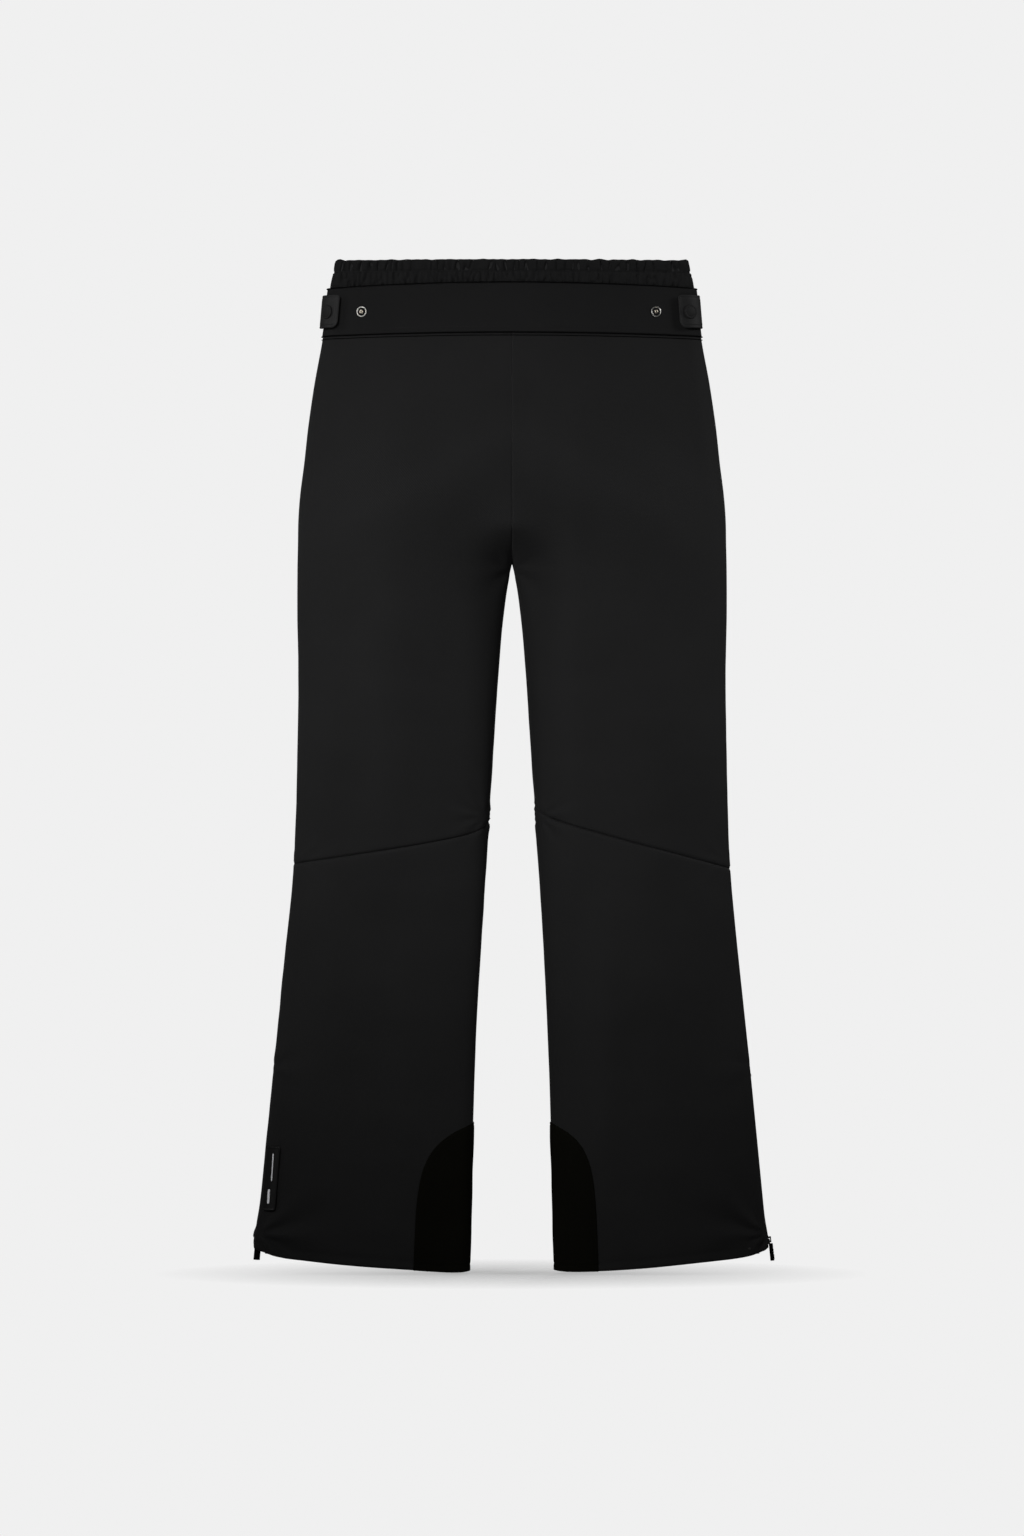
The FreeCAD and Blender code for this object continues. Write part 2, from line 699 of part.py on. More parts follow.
# ---- every node ------------------------------------------------------------------------
def build():
    """All sub-parts, by node name."""
    nodes = {}
    nodes["elastic_casing"], nodes["waist_elastic"] = casing_and_elastic()
    for word, face in FACES:
        nodes[word + "_yoke"] = yoke(face)
    nodes["yoke_top_piping"] = piping(shifted(yoke_arch, -piping_wide))
    nodes["yoke_foot_piping"] = piping(yoke_foot)
    knee_top, knee_foot = -knee_axis + knee_fold, -knee_axis - knee_fold
    for word, side in SIDES:
        free, closed = stud_turns(side)
        nodes["adjust_stud_" + word] = stud(free, side)
        nodes["closed_stud_" + word] = stud(closed, side)
        nodes["stud_washers_" + word] = Part.makeCompound([washer(free, side),
                                                           washer(closed, side)])
        nodes["tab_" + word] = tab(side)
        nodes["tab_cap_" + word] = tab_cap(side)
        nodes["tab_socket_" + word] = tab_socket(side)
        for facing, face in FACES:
            end = "_%s_%s" % (facing, word)
            nodes["seat" + end] = seat_panel(side, face)
            nodes["hip_fold" + end] = panel(-hip_fold_top - fold_gap, -rise, side, face)
            nodes["thigh" + end] = panel(-rise - fold_gap, knee_top, side, face)
            nodes["knee_fold" + end] = panel(knee_top - fold_gap, knee_foot, side, face)
            nodes["lower_leg" + end] = lower_leg(side, face)
        nodes["scuff_guard_" + word] = scuff_guard(side)
        nodes["gaiter_" + word] = gaiter(side)
        nodes["gaiter_elastic_" + word] = gaiter_elastic(side)
        nodes["zip_tape_" + word] = zip_tape(side)
        nodes["zip_chain_" + word] = zip_chain(side)
        nodes["zip_stops_" + word] = zip_stops(side)
        nodes["zip_slider_" + word] = zip_slider(side)
        nodes["zip_pull_" + word] = zip_pull(side)
    nodes["label_patch"] = label_patch()
    nodes["hem_rivet"] = hem_rivet()
    return nodes


os.makedirs("parts", exist_ok=True)
for name, shape in build().items():
    shape.exportStep("parts/%s.step" % name)
    box = shape.BoundBox
    print("%-24s solids %d  valid %s  volume %9.1f  x %.1f..%.1f  y %.1f..%.1f  z %.1f..%.1f" % (
        name, len(shape.Solids), shape.isValid(), shape.Volume,
        box.XMin, box.XMax, box.YMin, box.YMax, box.ZMin, box.ZMax))
for word, side in SIDES:
    place = zip_frame(side)
    print(word, "zip origin", place.Base, "up", place.Rotation.multVec(V(0, 0, 1)),
          "along", place.Rotation.multVec(V(0, 1, 0)),
          "pin", place.multVec(V(pin_lift(), 0, 0)))
    root = point((tab_top + tab_bottom) / 2, RIGHT_ANGLE, tab_root_lift + tab_thick / 2, side)
    lean = point(tab_top, RIGHT_ANGLE, 0.0, side) - point(tab_bottom, RIGHT_ANGLE, 0.0, side)
    print(word, "tab hinge", root, "axis", lean.normalize() * side)
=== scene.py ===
# %% [markdown]
# # Pull-on ski pants, hung from the waist
# The garment is a few large panels of black softshell sewn into two flared legs, under a smooth
# yoke and a gathered elastic waist. Every cloth piece here starts as a flat grid, is given the
# size it has on the table, and is then laid on the same flattened ovals that the CAD shells
# follow. That keeps the seams of neighbouring pieces together, and each piece keeps a flat UV
# map in real millimetres, which the weave needs.

# %% Load the fixed frame
import functools
import math

import bmesh
import bpy
from mathutils import Matrix, Vector, noise


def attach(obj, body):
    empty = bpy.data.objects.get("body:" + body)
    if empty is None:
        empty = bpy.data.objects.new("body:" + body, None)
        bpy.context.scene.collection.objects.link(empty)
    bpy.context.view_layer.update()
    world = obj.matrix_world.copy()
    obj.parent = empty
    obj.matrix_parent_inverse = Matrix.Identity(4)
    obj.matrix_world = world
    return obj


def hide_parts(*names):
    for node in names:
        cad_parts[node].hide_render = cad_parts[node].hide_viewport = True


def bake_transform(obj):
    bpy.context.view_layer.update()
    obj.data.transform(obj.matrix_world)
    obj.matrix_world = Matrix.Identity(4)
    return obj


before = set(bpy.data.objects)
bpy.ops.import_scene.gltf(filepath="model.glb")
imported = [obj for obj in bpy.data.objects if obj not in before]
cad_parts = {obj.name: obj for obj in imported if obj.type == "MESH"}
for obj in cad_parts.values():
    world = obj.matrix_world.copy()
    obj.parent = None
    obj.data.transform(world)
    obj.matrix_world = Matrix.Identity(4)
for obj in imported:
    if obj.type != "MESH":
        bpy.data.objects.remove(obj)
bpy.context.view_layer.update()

MM = 0.001
RIGHT_ANGLE = math.pi / 2
CLOTH = 1.8
SIDES = (("left", 1), ("right", -1))
FACES = (("front", 1), ("back", -1))

# %% [markdown]
# ## The ovals that the cloth lies on
# At each height the garment is an oval of four arcs: broad in front and behind, tight at the
# sides. A table gives its edges at a few heights, in millimetres below the waist, and a cubic
# runs smoothly between them. A straight loft would show a crease at every row of the table.

# %% The garment's outline, by height
# height, outer edge, inner edge, half depth, side radius
LEVELS = (
    (12.0, 189.5, -189.5, 42.0, 17.5), (0.0, 191.5, -191.5, 43.0, 18.0),
    (-30.0, 197.0, -197.0, 45.5, 19.0), (-80.0, 202.5, -202.5, 50.0, 22.0),
    (-130.0, 211.5, -211.5, 56.5, 27.0), (-175.0, 218.0, -218.0, 60.5, 31.0),
    (-215.0, 222.5, -150.0, 63.0, 33.0), (-250.0, 227.0, -80.0, 63.0, 34.0),
    (-277.0, 229.0, -32.0, 61.5, 34.0), (-304.0, 229.5, -9.0, 59.0, 32.0),
    (-332.0, 230.0, 1.5, 56.0, 30.0), (-382.0, 230.0, 9.0, 52.5, 29.0),
    (-442.0, 229.0, 14.5, 48.5, 27.0), (-560.0, 230.5, 22.5, 43.0, 24.0),
    (-620.0, 232.5, 26.0, 40.0, 22.0), (-680.0, 236.5, 30.5, 38.5, 21.0),
    (-860.0, 255.0, 39.0, 36.5, 20.0), (-1090.0, 277.4, 45.5, 36.0, 20.0),
)


def slope(i, column):
    """The table's slope at one of its rows, from the rows on both sides."""
    a, b = LEVELS[max(i - 1, 0)], LEVELS[min(i + 1, len(LEVELS) - 1)]
    return (b[column] - a[column]) / (b[0] - a[0])


@functools.lru_cache(None)
def oval(z):
    """Middle, corner offset, corner radius, flat radius, half depth and join angle."""
    z = max(min(z, LEVELS[0][0]), LEVELS[-1][0])
    i = 0
    while i < len(LEVELS) - 2 and z < LEVELS[i + 1][0]:
        i += 1
    upper, lower = LEVELS[i], LEVELS[i + 1]
    run = lower[0] - upper[0]
    t = (z - upper[0]) / run
    values = []
    for column in range(1, 5):
        bend_a, bend_b = slope(i, column) * run, slope(i + 1, column) * run
        a, b = upper[column], lower[column]
        values.append((2 * t**3 - 3 * t**2 + 1) * a + (t**3 - 2 * t**2 + t) * bend_a
                      + (3 * t**2 - 2 * t**3) * b + (t**3 - t**2) * bend_b)
    outer, inner, depth, corner = values
    offset = (outer - inner) / 2 - corner
    flat = (offset**2 + depth**2 - corner**2) / (2 * (depth - corner))
    return (outer + inner) / 2, offset, corner, flat, depth, math.atan2(offset, flat - depth)


def turn_at(z, way):
    """The direction cloth faces after a distance round from the oval's front middle."""
    _, _, corner, flat, _, join = oval(z)
    front, side = flat * join, corner * (math.pi - 2 * join)
    far = abs(way)
    if far <= front:
        turn = far / flat
    elif far <= front + side:
        turn = join + (far - front) / corner
    else:
        turn = math.pi - join + (far - front - side) / flat
    return math.copysign(turn, way)


def way_at(z, turn):
    """The distance round from the oval's front middle to a facing direction."""
    _, _, corner, flat, _, join = oval(z)
    far = abs(turn)
    if far <= join:
        way = flat * far
    elif far <= math.pi - join:
        way = flat * join + corner * (far - join)
    else:
        way = flat * join + corner * (math.pi - 2 * join) + flat * (far - math.pi + join)
    return math.copysign(way, turn)


def spot(z, turn, lift=0.0, side=1, face=1):
    """A point of the oval in metres, lifted off it by millimetres."""
    middle, offset, corner, flat, depth, join = oval(z)
    if abs(turn) <= join:
        cx, cy, radius = middle, flat - depth, flat
    elif abs(turn) >= math.pi - join:
        cx, cy, radius = middle, depth - flat, flat
    else:
        cx, cy, radius = middle + math.copysign(offset, turn), 0.0, corner
    radius += lift
    return Vector((side * (cx + radius * math.sin(turn)),
                   face * (cy - radius * math.cos(turn)), z)) * MM


def seam_turn(z):
    """Where a front panel meets the middle seam or, lower down, the inseam."""
    middle, offset, corner, flat, _, join = oval(z)
    if middle - offset - corner >= 0:
        return -RIGHT_ANGLE
    at_flat = -middle / flat
    if at_flat >= -math.sin(join):
        return math.asin(at_flat)
    return math.asin(max((offset - middle) / corner, -1.0))


def ease(t):
    t = max(0.0, min(1.0, t))
    return t * t * (3 - 2 * t)


def bell(distance, width):
    return math.exp(-(distance / width) ** 2)


# %% [markdown]
# ## From a grid to a piece
# `bmesh.ops.create_grid` gives a square of even faces. Moving its points with a function is
# quicker and smoother than sculpting. The same helper writes the UV map, names the object and
# shades it smooth, so that each piece below only says where its points go.

# %% Helpers that make objects
def finish_mesh(bm, name, material, smooth=True):
    """Turns a bmesh into a linked object with one material."""
    mesh = bpy.data.meshes.new(name)
    for f in bm.faces:
        f.smooth = smooth
    bm.to_mesh(mesh)
    bm.free()
    piece = bpy.data.objects.new(name, mesh)
    bpy.context.scene.collection.objects.link(piece)
    mesh.materials.append(material)
    return piece


def grid_piece(name, columns, rows, place, material, wrap=(False, False), outward=None):
    """A grid whose point (u, v) goes where place says: (flat u, flat v, position)."""
    bm = bmesh.new()
    bmesh.ops.create_grid(bm, x_segments=columns, y_segments=rows, size=0.5)
    uv = bm.loops.layers.uv.new("flat")
    made = {v: place(v.co.x + 0.5, v.co.y + 0.5) for v in bm.verts}
    for f in bm.faces:
        for corner in f.loops:
            corner[uv].uv = made[corner.vert][:2]
    for v, (_, _, where) in made.items():
        v.co = where
    if any(wrap):
        bmesh.ops.remove_doubles(bm, verts=bm.verts, dist=0.00002)
    bm.normal_update()
    if outward is None:
        bmesh.ops.recalc_face_normals(bm, faces=bm.faces)
    elif sum(f.normal.dot(outward(f.calc_center_median())) for f in bm.faces) < 0:
        bmesh.ops.reverse_faces(bm, faces=bm.faces)
    return finish_mesh(bm, name, material)


def thicken(piece, thickness, offset=-1.0, bevel=0.0):
    """A live wall on a cloth piece, inwards from the modelled face."""
    wall = piece.modifiers.new("wall", "SOLIDIFY")
    wall.thickness = thickness * MM
    wall.offset = offset
    wall.use_even_offset = False
    if bevel:
        edge = piece.modifiers.new("edge", "BEVEL")
        edge.width = bevel * MM
        edge.segments = 2
        edge.limit_method = "ANGLE"
        edge.angle_limit = math.radians(50)
    return piece


def spun(name, profile, steps, place, material):
    """A turned piece: a profile of (radius, height) spun round local X, then placed."""
    bm = bmesh.new()
    verts = [bm.verts.new((height * MM, radius * MM, 0.0)) for radius, height in profile]
    edges = [bm.edges.new(pair) for pair in zip(verts, verts[1:])]
    bmesh.ops.spin(bm, geom=verts + edges, cent=(0, 0, 0), axis=(1, 0, 0),
                   angle=2 * math.pi, steps=steps, use_merge=True)
    bmesh.ops.remove_doubles(bm, verts=bm.verts, dist=0.00001)
    bmesh.ops.recalc_face_normals(bm, faces=bm.faces)
    bmesh.ops.transform(bm, matrix=place, verts=bm.verts)
    return finish_mesh(bm, name, material)


def cloth_frame(z, way, side, lift=0.0):
    """A placing matrix on the front cloth: X outwards, Z up along the surface."""
    here = spot(z, turn_at(z, way), lift, side)
    above = spot(z + 8, turn_at(z + 8, way), lift, side)
    beside = spot(z, turn_at(z, way + 2), lift, side)
    rise = (above - here).normalized()
    out = (beside - here).cross(rise).normalized()
    if out.dot(Vector((here.x, here.y, 0))) < 0:
        out.negate()
    along = rise.cross(out)
    matrix = Matrix((out, along, rise)).transposed().to_4x4()
    matrix.translation = here
    return matrix


# %% [markdown]
# ## Materials
# The real cloth is a black bonded softshell: matt, with a fine twill face that only shows as a
# soft grain, and a little unevenness in colour. The base colour is near black, and the shape
# of the light on it comes mostly from a low, very rough gloss. Patterns read the flat UV map,
# which is in metres, so a thread has its true size on every panel.

# %% Node helpers and finishes
def new_material(name, colour, rough, specular=0.5, metal=0.0, sheen=0.0, ior=1.5):
    """A material with its uniform values on the shader's own sockets."""
    made = bpy.data.materials.new(name)
    made.use_nodes = True
    shader = made.node_tree.nodes["Principled BSDF"]
    shader.inputs["Base Color"].default_value = (*colour, 1)
    shader.inputs["Roughness"].default_value = rough
    shader.inputs["Specular IOR Level"].default_value = specular
    shader.inputs["Metallic"].default_value = metal
    shader.inputs["Sheen Weight"].default_value = sheen
    shader.inputs["IOR"].default_value = ior
    return made, made.node_tree.nodes, made.node_tree.links, shader


def mottle(nodes, links, shader, coords, dark, light, scale):
    """Colour that drifts between two tones in soft patches."""
    cloud = nodes.new("ShaderNodeTexNoise")
    cloud.inputs["Scale"].default_value = scale
    cloud.inputs["Detail"].default_value = 4.0
    ramp = nodes.new("ShaderNodeValToRGB")
    ramp.color_ramp.elements[0].position = 0.3
    ramp.color_ramp.elements[0].color = (*dark, 1)
    ramp.color_ramp.elements[1].position = 0.7
    ramp.color_ramp.elements[1].color = (*light, 1)
    links.new(coords, cloud.inputs["Vector"])
    links.new(cloud.outputs["Fac"], ramp.inputs["Fac"])
    links.new(ramp.outputs["Color"], shader.inputs["Base Color"])


def twill(nodes, links, shader, coords, threads, depth, angle):
    """A fine diagonal rib with a finer grain over it, as bump."""
    turn = nodes.new("ShaderNodeMapping")
    turn.inputs["Rotation"].default_value = (0, 0, math.radians(angle))
    rib = nodes.new("ShaderNodeTexWave")
    rib.inputs["Scale"].default_value = threads
    rib.inputs["Distortion"].default_value = 0.6
    fuzz = nodes.new("ShaderNodeTexNoise")
    fuzz.inputs["Scale"].default_value = 2500.0
    both = nodes.new("ShaderNodeMath")
    both.operation = "ADD"
    bump = nodes.new("ShaderNodeBump")
    bump.inputs["Distance"].default_value = depth * MM
    bump.inputs["Strength"].default_value = 0.6
    links.new(coords, turn.inputs["Vector"])
    links.new(turn.outputs["Vector"], rib.inputs["Vector"])
    links.new(coords, fuzz.inputs["Vector"])
    links.new(rib.outputs["Fac"], both.inputs[0])
    links.new(fuzz.outputs["Fac"], both.inputs[1])
    links.new(both.outputs["Value"], bump.inputs["Height"])
    links.new(bump.outputs["Normal"], shader.inputs["Normal"])


def cloth_material(name, dark, light, rough, specular, sheen=0.0, threads=260.0, depth=0.12,
                   angle=62.0, ior=1.5):
    made, nodes, links, shader = new_material(name, light, rough, specular, 0.0, sheen, ior)
    coords = nodes.new("ShaderNodeTexCoord").outputs["UV"]
    mottle(nodes, links, shader, coords, dark, light, 9.0)
    twill(nodes, links, shader, coords, threads, depth, angle)
    return made


def moulded_material(name, dark, light, rough, specular, depth=0.05, metal=0.0, ior=1.5):
    """Rubber, plastic or metal with a fine surface grain, on object coordinates."""
    made, nodes, links, shader = new_material(name, light, rough, specular, metal, 0.0, ior)
    coords = nodes.new("ShaderNodeTexCoord").outputs["Object"]
    mottle(nodes, links, shader, coords, dark, light, 60.0)
    fuzz = nodes.new("ShaderNodeTexNoise")
    fuzz.inputs["Scale"].default_value = 900.0
    bump = nodes.new("ShaderNodeBump")
    bump.inputs["Distance"].default_value = depth * MM
    bump.inputs["Strength"].default_value = 0.5
    links.new(coords, fuzz.inputs["Vector"])
    links.new(fuzz.outputs["Fac"], bump.inputs["Height"])
    links.new(bump.outputs["Normal"], shader.inputs["Normal"])
    return made


def grey(value, blue=1.03):
    return (value, value, value * blue)


softshell = cloth_material("softshell", grey(0.0062), grey(0.0078), 0.82, 0.16, sheen=0.02)
yoke_cloth = cloth_material("yoke softshell", grey(0.0060), grey(0.0072), 0.85, 0.14)
casing_cloth = cloth_material("gathered casing", grey(0.0062), grey(0.0080), 0.88, 0.14)
# Real welt cords, but coloured darker than the cloth: painted shadow for the thin dark lines along
# the yoke's edges.
welt_cloth_with_painted_shadow = cloth_material("welt", grey(0.0022), grey(0.0032), 0.9, 0.05, threads=500.0,
                            ior=1.2)
guard_cloth = cloth_material("coated guard", (0.0034, 0.0033, 0.0024), (0.0047, 0.0045, 0.0032),
                             0.8, 0.1, threads=420.0, depth=0.05, ior=1.12)
lining_cloth = cloth_material("gaiter lining", grey(0.012), grey(0.016), 0.6, 0.3,
                              threads=600.0, depth=0.04, angle=0.0)
elastic_knit = cloth_material("elastic knit", grey(0.012), grey(0.018), 0.8, 0.2,
                              threads=180.0, depth=0.25, angle=90.0)
tape_weave = cloth_material("zip tape", grey(0.006), grey(0.008), 0.75, 0.2,
                            threads=450.0, depth=0.1, angle=45.0)
thread = cloth_material("thread", grey(0.003), grey(0.0045), 0.7, 0.2, threads=900.0)
tab_rubber = moulded_material("tab rubber", grey(0.006), grey(0.0085), 0.62, 0.2)
# The snap caps' own black; the same colour on the discs under the studs is painted shade in their
# hollows.
cap_black_and_painted_shade = moulded_material("snap cap and painted stud shade", grey(0.006), grey(0.0082), 0.68, 0.18)
nickel = moulded_material("snap nickel", (0.46, 0.46, 0.44), (0.60, 0.59, 0.56), 0.34, 0.5,
                          metal=1.0, depth=0.01)
brass = moulded_material("snap centre", (0.40, 0.35, 0.28), (0.52, 0.47, 0.40), 0.34, 0.5,
                         metal=1.0, depth=0.01)
gunmetal = moulded_material("zip metal", (0.02, 0.02, 0.02), (0.045, 0.045, 0.045), 0.45, 0.5,
                            metal=1.0, depth=0.01)
zip_nylon = moulded_material("zip nylon", grey(0.006), grey(0.01), 0.4, 0.4)
pull_rubber = moulded_material("pull rubber", grey(0.0012), grey(0.002), 0.9, 0.05, ior=1.1)
patch_rubber = moulded_material("patch rubber", grey(0.0022), grey(0.003), 0.5, 0.2)
bar_print = moulded_material("pale bar", grey(0.7), grey(0.8), 0.55, 0.3)
print("materials", len(bpy.data.materials))

# %% [markdown]
# ## Seams, folds and pinches
# Cloth that hangs empty is never quite smooth. A few soft folds fan out from the crotch, the
# knee seam pinches where it meets the inseam, and the cloth gathers near both ends of each
# ankle zip. Each is a small wave that fades with distance. At a seam the cloth dips into a
# narrow groove, because the allowance behind it pulls it in. Where something is fixed on the
# cloth, the waves calm down, so that nothing is buried in a fold.

# %% The relief of the panels, in millimetres off the oval
CROTCH = -332.0
ZIP_FOOT, GAP_TOP, GAP_TAPER, GAP_HALF = -1047.0, -855.0, 12.0, 5.2
ZIP_TURNS = {1: RIGHT_ANGLE, -1: math.radians(128.0)}
GUARD_TOP, GUARD_REACH = -921.0, {1: 60.0, -1: 73.0}
GUARD_TIP, GUARD_SWELL, GUARD_CURVE = 5.0, 6.4, {1: 0.87, -1: 0.93}
KNEE_LINES = {1: (590.0, 60.0, 0.9, 8.0), -1: (608.0, 37.0, 0.8, 10.0)}
CALM = {1: ((244.7, -1057.0, 16.0),), -1: ((254.0, -983.0, 34.0),)}


def knee_line(share, side):
    """Height of the knee seam, from the inseam (0) to the outseam (1)."""
    inner, drop, bow, hook = KNEE_LINES[side]
    return -(inner + drop * share**bow) + hook * math.exp(-share / 0.04)


def hem_line(share, side):
    """Height of the hem: lowest near the inseam, rounded up at the outer corner."""
    wave = 0.6 * math.sin(9.0 * share + side)
    return (-1082.2 + 3.0 * math.exp(-share / 0.05) + 19.5 * share**1.25 + 8.0 * share**18
            + wave * (1 - share))


def yoke_foot_line(share, side=1):
    return -78.5 - 3.0 * share**2


def yoke_top_line(share):
    return -25.5 - 5.5 * share**2


def share_across(z, turn):
    """Share of a leg's width at a place: 0 at its inner edge or the middle, 1 outside."""
    middle, offset, corner, _, _, _ = oval(z)
    inner, outer = max(middle - offset - corner, 0.0), middle + offset + corner
    x = spot(z, turn).x / MM
    return max(0.0, min(1.0, (x - inner) / (outer - inner)))


def drift(x, z, size, seed):
    """Slow, smooth unevenness between -1 and 1."""
    return noise.noise(Vector((x / size, seed, z / (2.2 * size))))


def fan(x, z, centre, reach, ways, phase, height):
    """Folds that spread from one place and fade over a reach."""
    dx, dz = x - centre[0], z - centre[1]
    far = math.hypot(dx, dz)
    return height * bell(far, reach) * math.sin(ways * math.atan2(dz, dx) + phase) * ease(far / 12)


def ridge(x, z, at, wide, top, foot, height):
    """A long upright fold whose line leans slowly, from one height down to another."""
    line = at + 9.0 * drift(at, z, 60.0, 31.0)
    shown = ease((top - z) / 90.0) * ease((z - foot) / 140.0)
    return 1.9 * height * bell(x - line, wide) * shown


RIDGES = {
    1: ((66.0, 30.0, -110.0, -760.0, 3.0), (150.0, 46.0, -170.0, -900.0, 2.2),
        (28.0, 17.0, -130.0, -345.0, 1.3), (100.0, 20.0, -640.0, -1020.0, 1.6)),
    -1: ((122.0, 40.0, -110.0, -760.0, 4.2), (40.0, 26.0, -240.0, -840.0, 1.6),
         (196.0, 22.0, -300.0, -900.0, 1.4), (105.0, 24.0, -640.0, -1020.0, 1.8)),
}


def relief(x, z, way_in, way_out, side, face):
    """How far the cloth stands off its oval, without the grooves of its seams."""
    seed = 3.0 * side + 7.0 * face
    lift = 1.1 * drift(x, z, 70.0, seed) + 0.35 * drift(x, z, 24.0, seed + 5)
    lift += 0.5 * drift(z, x, 30.0, seed + 2) * ease((-z - 350) / 100)
    lift += sum(ridge(x, z, *one) for one in RIDGES[side])
    lift += fan(x, z, (2.0, CROTCH + 2), 42.0, 5.0, 1.9, 1.3) * ease((-z - 200) / 90)
    lift -= 0.9 * bell(x - 11, 7.0) * bell(z + 318, 42.0)
    lift += fan(x, z, (31.0, -594.0), 30.0, 9.0, 0.4, 1.1)
    lift += fan(x, z, (228.0, -640.0), 26.0, 8.0, 1.2, 0.5)
    lift += fan(x, z, (262.0, -862.0), 40.0, 6.0, 0.3, 0.9) * ease(way_out / 30)
    lift += fan(x, z, (270.0, -1040.0), 66.0, 8.0, 1.1, 2.3) * ease(way_out / 18)
    lift += 1.0 * drift(x, z, 38.0, seed + 9) * ease((-z - 900) / 150)
    lift *= ease(min(way_in, way_out) / 10.0) * ease((-z - 80) / 25.0)
    for cx, cz, reach in CALM[side] if face == 1 else ():
        lift *= 1 - bell(math.hypot(x - cx, z - cz), reach)
    return lift


# %% [markdown]
# ## Leg panels
# Each leg is cut as the real one is: an upper panel from the yoke to the knee seam and a lower
# one from there to the hem, in front and behind. The rows of each grid follow the two seams
# that bound the panel, so no cutting is needed afterwards. Columns crowd towards the side
# seams, where the oval turns tightly. Below the knee the outseam leads into the ankle zip, and
# the panels' edges part there to leave its gap.

# %% Panels
def outseam_turn(z, side):
    """Where front and back panels meet on the outside: at the zip, below the knee."""
    return RIGHT_ANGLE + (ZIP_TURNS[side] - RIGHT_ANGLE) * ease((-z - 650) / 200)


def half_panel(z, side, face):
    """The distances round of a half panel's inner and outer edges, with the zip's gap."""
    outer = outseam_turn(z, side) if face == 1 else math.pi - outseam_turn(z, side)
    parted = GAP_HALF * ease((GAP_TOP - z) / GAP_TAPER)
    return way_at(z, seam_turn(z)), way_at(z, outer) - parted


def on_panel(share, height, side, face):
    """Height, way and turn at a panel's share, where height(across) gives its z."""
    z = height(share)
    for _ in range(2):
        inner, outer = half_panel(z, side, face)
        way = inner + (outer - inner) * share
        z = height(share_across(z, turn_at(z, way)))
    return z, inner, outer, way, turn_at(z, way)


def panel_lift(z, inner, outer, way, turn, side, face):
    way_in, way_out = way - inner, outer - way
    lift = relief(abs(spot(z, turn).x) / MM, z, way_in, way_out, side, face)
    gap = ease((GAP_TOP - z) / GAP_TAPER)
    sunk = 1.2 if face == -1 else 1.2 * ease((-z - 220) / 80)
    lift += (4.2 if side == -1 else 1.6) * bell(z + 1044, 15.0) * bell(way_out, 42.0)
    return lift - sunk * bell(way_in, 2.4) - 1.1 * bell(way_out, 2.6) * (1 - gap)


SADDLE, SADDLE_WIDE, SADDLE_FADE = 62.0, 20.0, 60.0
KNEE_MIDDLE, KNEE_RUN, LEG_WIDTH = 0.129, 0.11, 200


def fill_crotch(where, z, inner, way, side, face):
    """Rounds the cloth over the crotch as one saddle, and closes the middle seam."""
    turn = turn_at(z, inner)
    if turn > 0.001 - RIGHT_ANGLE:
        where.x -= side * spot(z, turn, -1.2).x * math.exp(-(way - inner) / 4.0)
        over = min(z - CROTCH, SADDLE)
        saddle = math.sqrt(SADDLE**2 - (SADDLE - over) ** 2)
        depth = oval(z)[4] - 1.5
        across, now = abs(where.x) / MM, abs(where.y) / MM
        wanted = depth - max(0.0, depth - saddle) * bell(across, SADDLE_WIDE)
        more = 0.5 * (wanted - now + math.sqrt((wanted - now) ** 2 + 4.0)) - 0.7
        shown = ease((-z - 150) / 70.0) * ease(over / (0.85 * SADDLE)) * bell(across, SADDLE_FADE)
        where.y -= face * max(0.0, more) * shown * MM
    return where


def knee_bend(side):
    """Where a leg's cloth starts and ends its bend at the knee, in metres."""
    slant = -side * KNEE_LINES[side][1] / LEG_WIDTH
    start = Vector((side * KNEE_MIDDLE, 0, knee_line(0.5, side) * MM))
    return start, start + KNEE_RUN * Vector((slant, 0, -1)).normalized()


def crowd(share):
    """Columns closer together near both seams."""
    return share - 0.022 * math.sin(2 * math.pi * share)


def panel(name, side, face, top, foot, columns, rows, grooves):
    """One cloth panel between two lines. A groove is (line, offset, depth, width)."""
    def place(u, v):
        def height(across):
            return foot(across, side) + (top(across, side) - foot(across, side)) * v

        z, inner, outer, way, turn = on_panel(crowd(u), height, side, face)
        lift = panel_lift(z, inner, outer, way, turn, side, face)
        across = share_across(z, turn)
        for line, offset, depth, width in grooves:
            lift -= depth * bell(z - line(across, side) - offset, width)
        where = fill_crotch(spot(z, turn, lift, side, face), z, inner, way, side, face)
        return way * MM, z * MM, where

    made = grid_piece(name, columns, rows, place, softshell,
                      outward=lambda p: Vector((0, -face, 0)))
    thicken(made, CLOTH)
    high, low = top(0.5, side), foot(0.5, side)
    widths = [half_panel(low + (high - low) * i / 20, side, face) for i in range(21)]
    widths = [outer - inner for inner, outer in widths]
    return made


HEM_FOLD = 9.0
KNEE_GROOVE = (knee_line, 0.0, 1.0, 1.7)
for word, side in SIDES:
    for facing, face in FACES:
        upper = panel("%s_upper_panel_%s" % (facing, word), side, face, yoke_foot_line, knee_line,
                      76, 190, (KNEE_GROOVE,))
        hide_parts(*["%s_%s_%s" % (n, facing, word)
                             for n in ("seat", "hip_fold", "thigh", "knee_fold")])
        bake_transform(upper)
        lower = panel("%s_lower_panel_%s" % (facing, word), side, face, knee_line, hem_line,
                      84, 170, (KNEE_GROOVE, (hem_line, HEM_FOLD, 0.8, 1.5)))
        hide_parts("lower_leg_%s_%s" % (facing, word))
        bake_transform(lower)

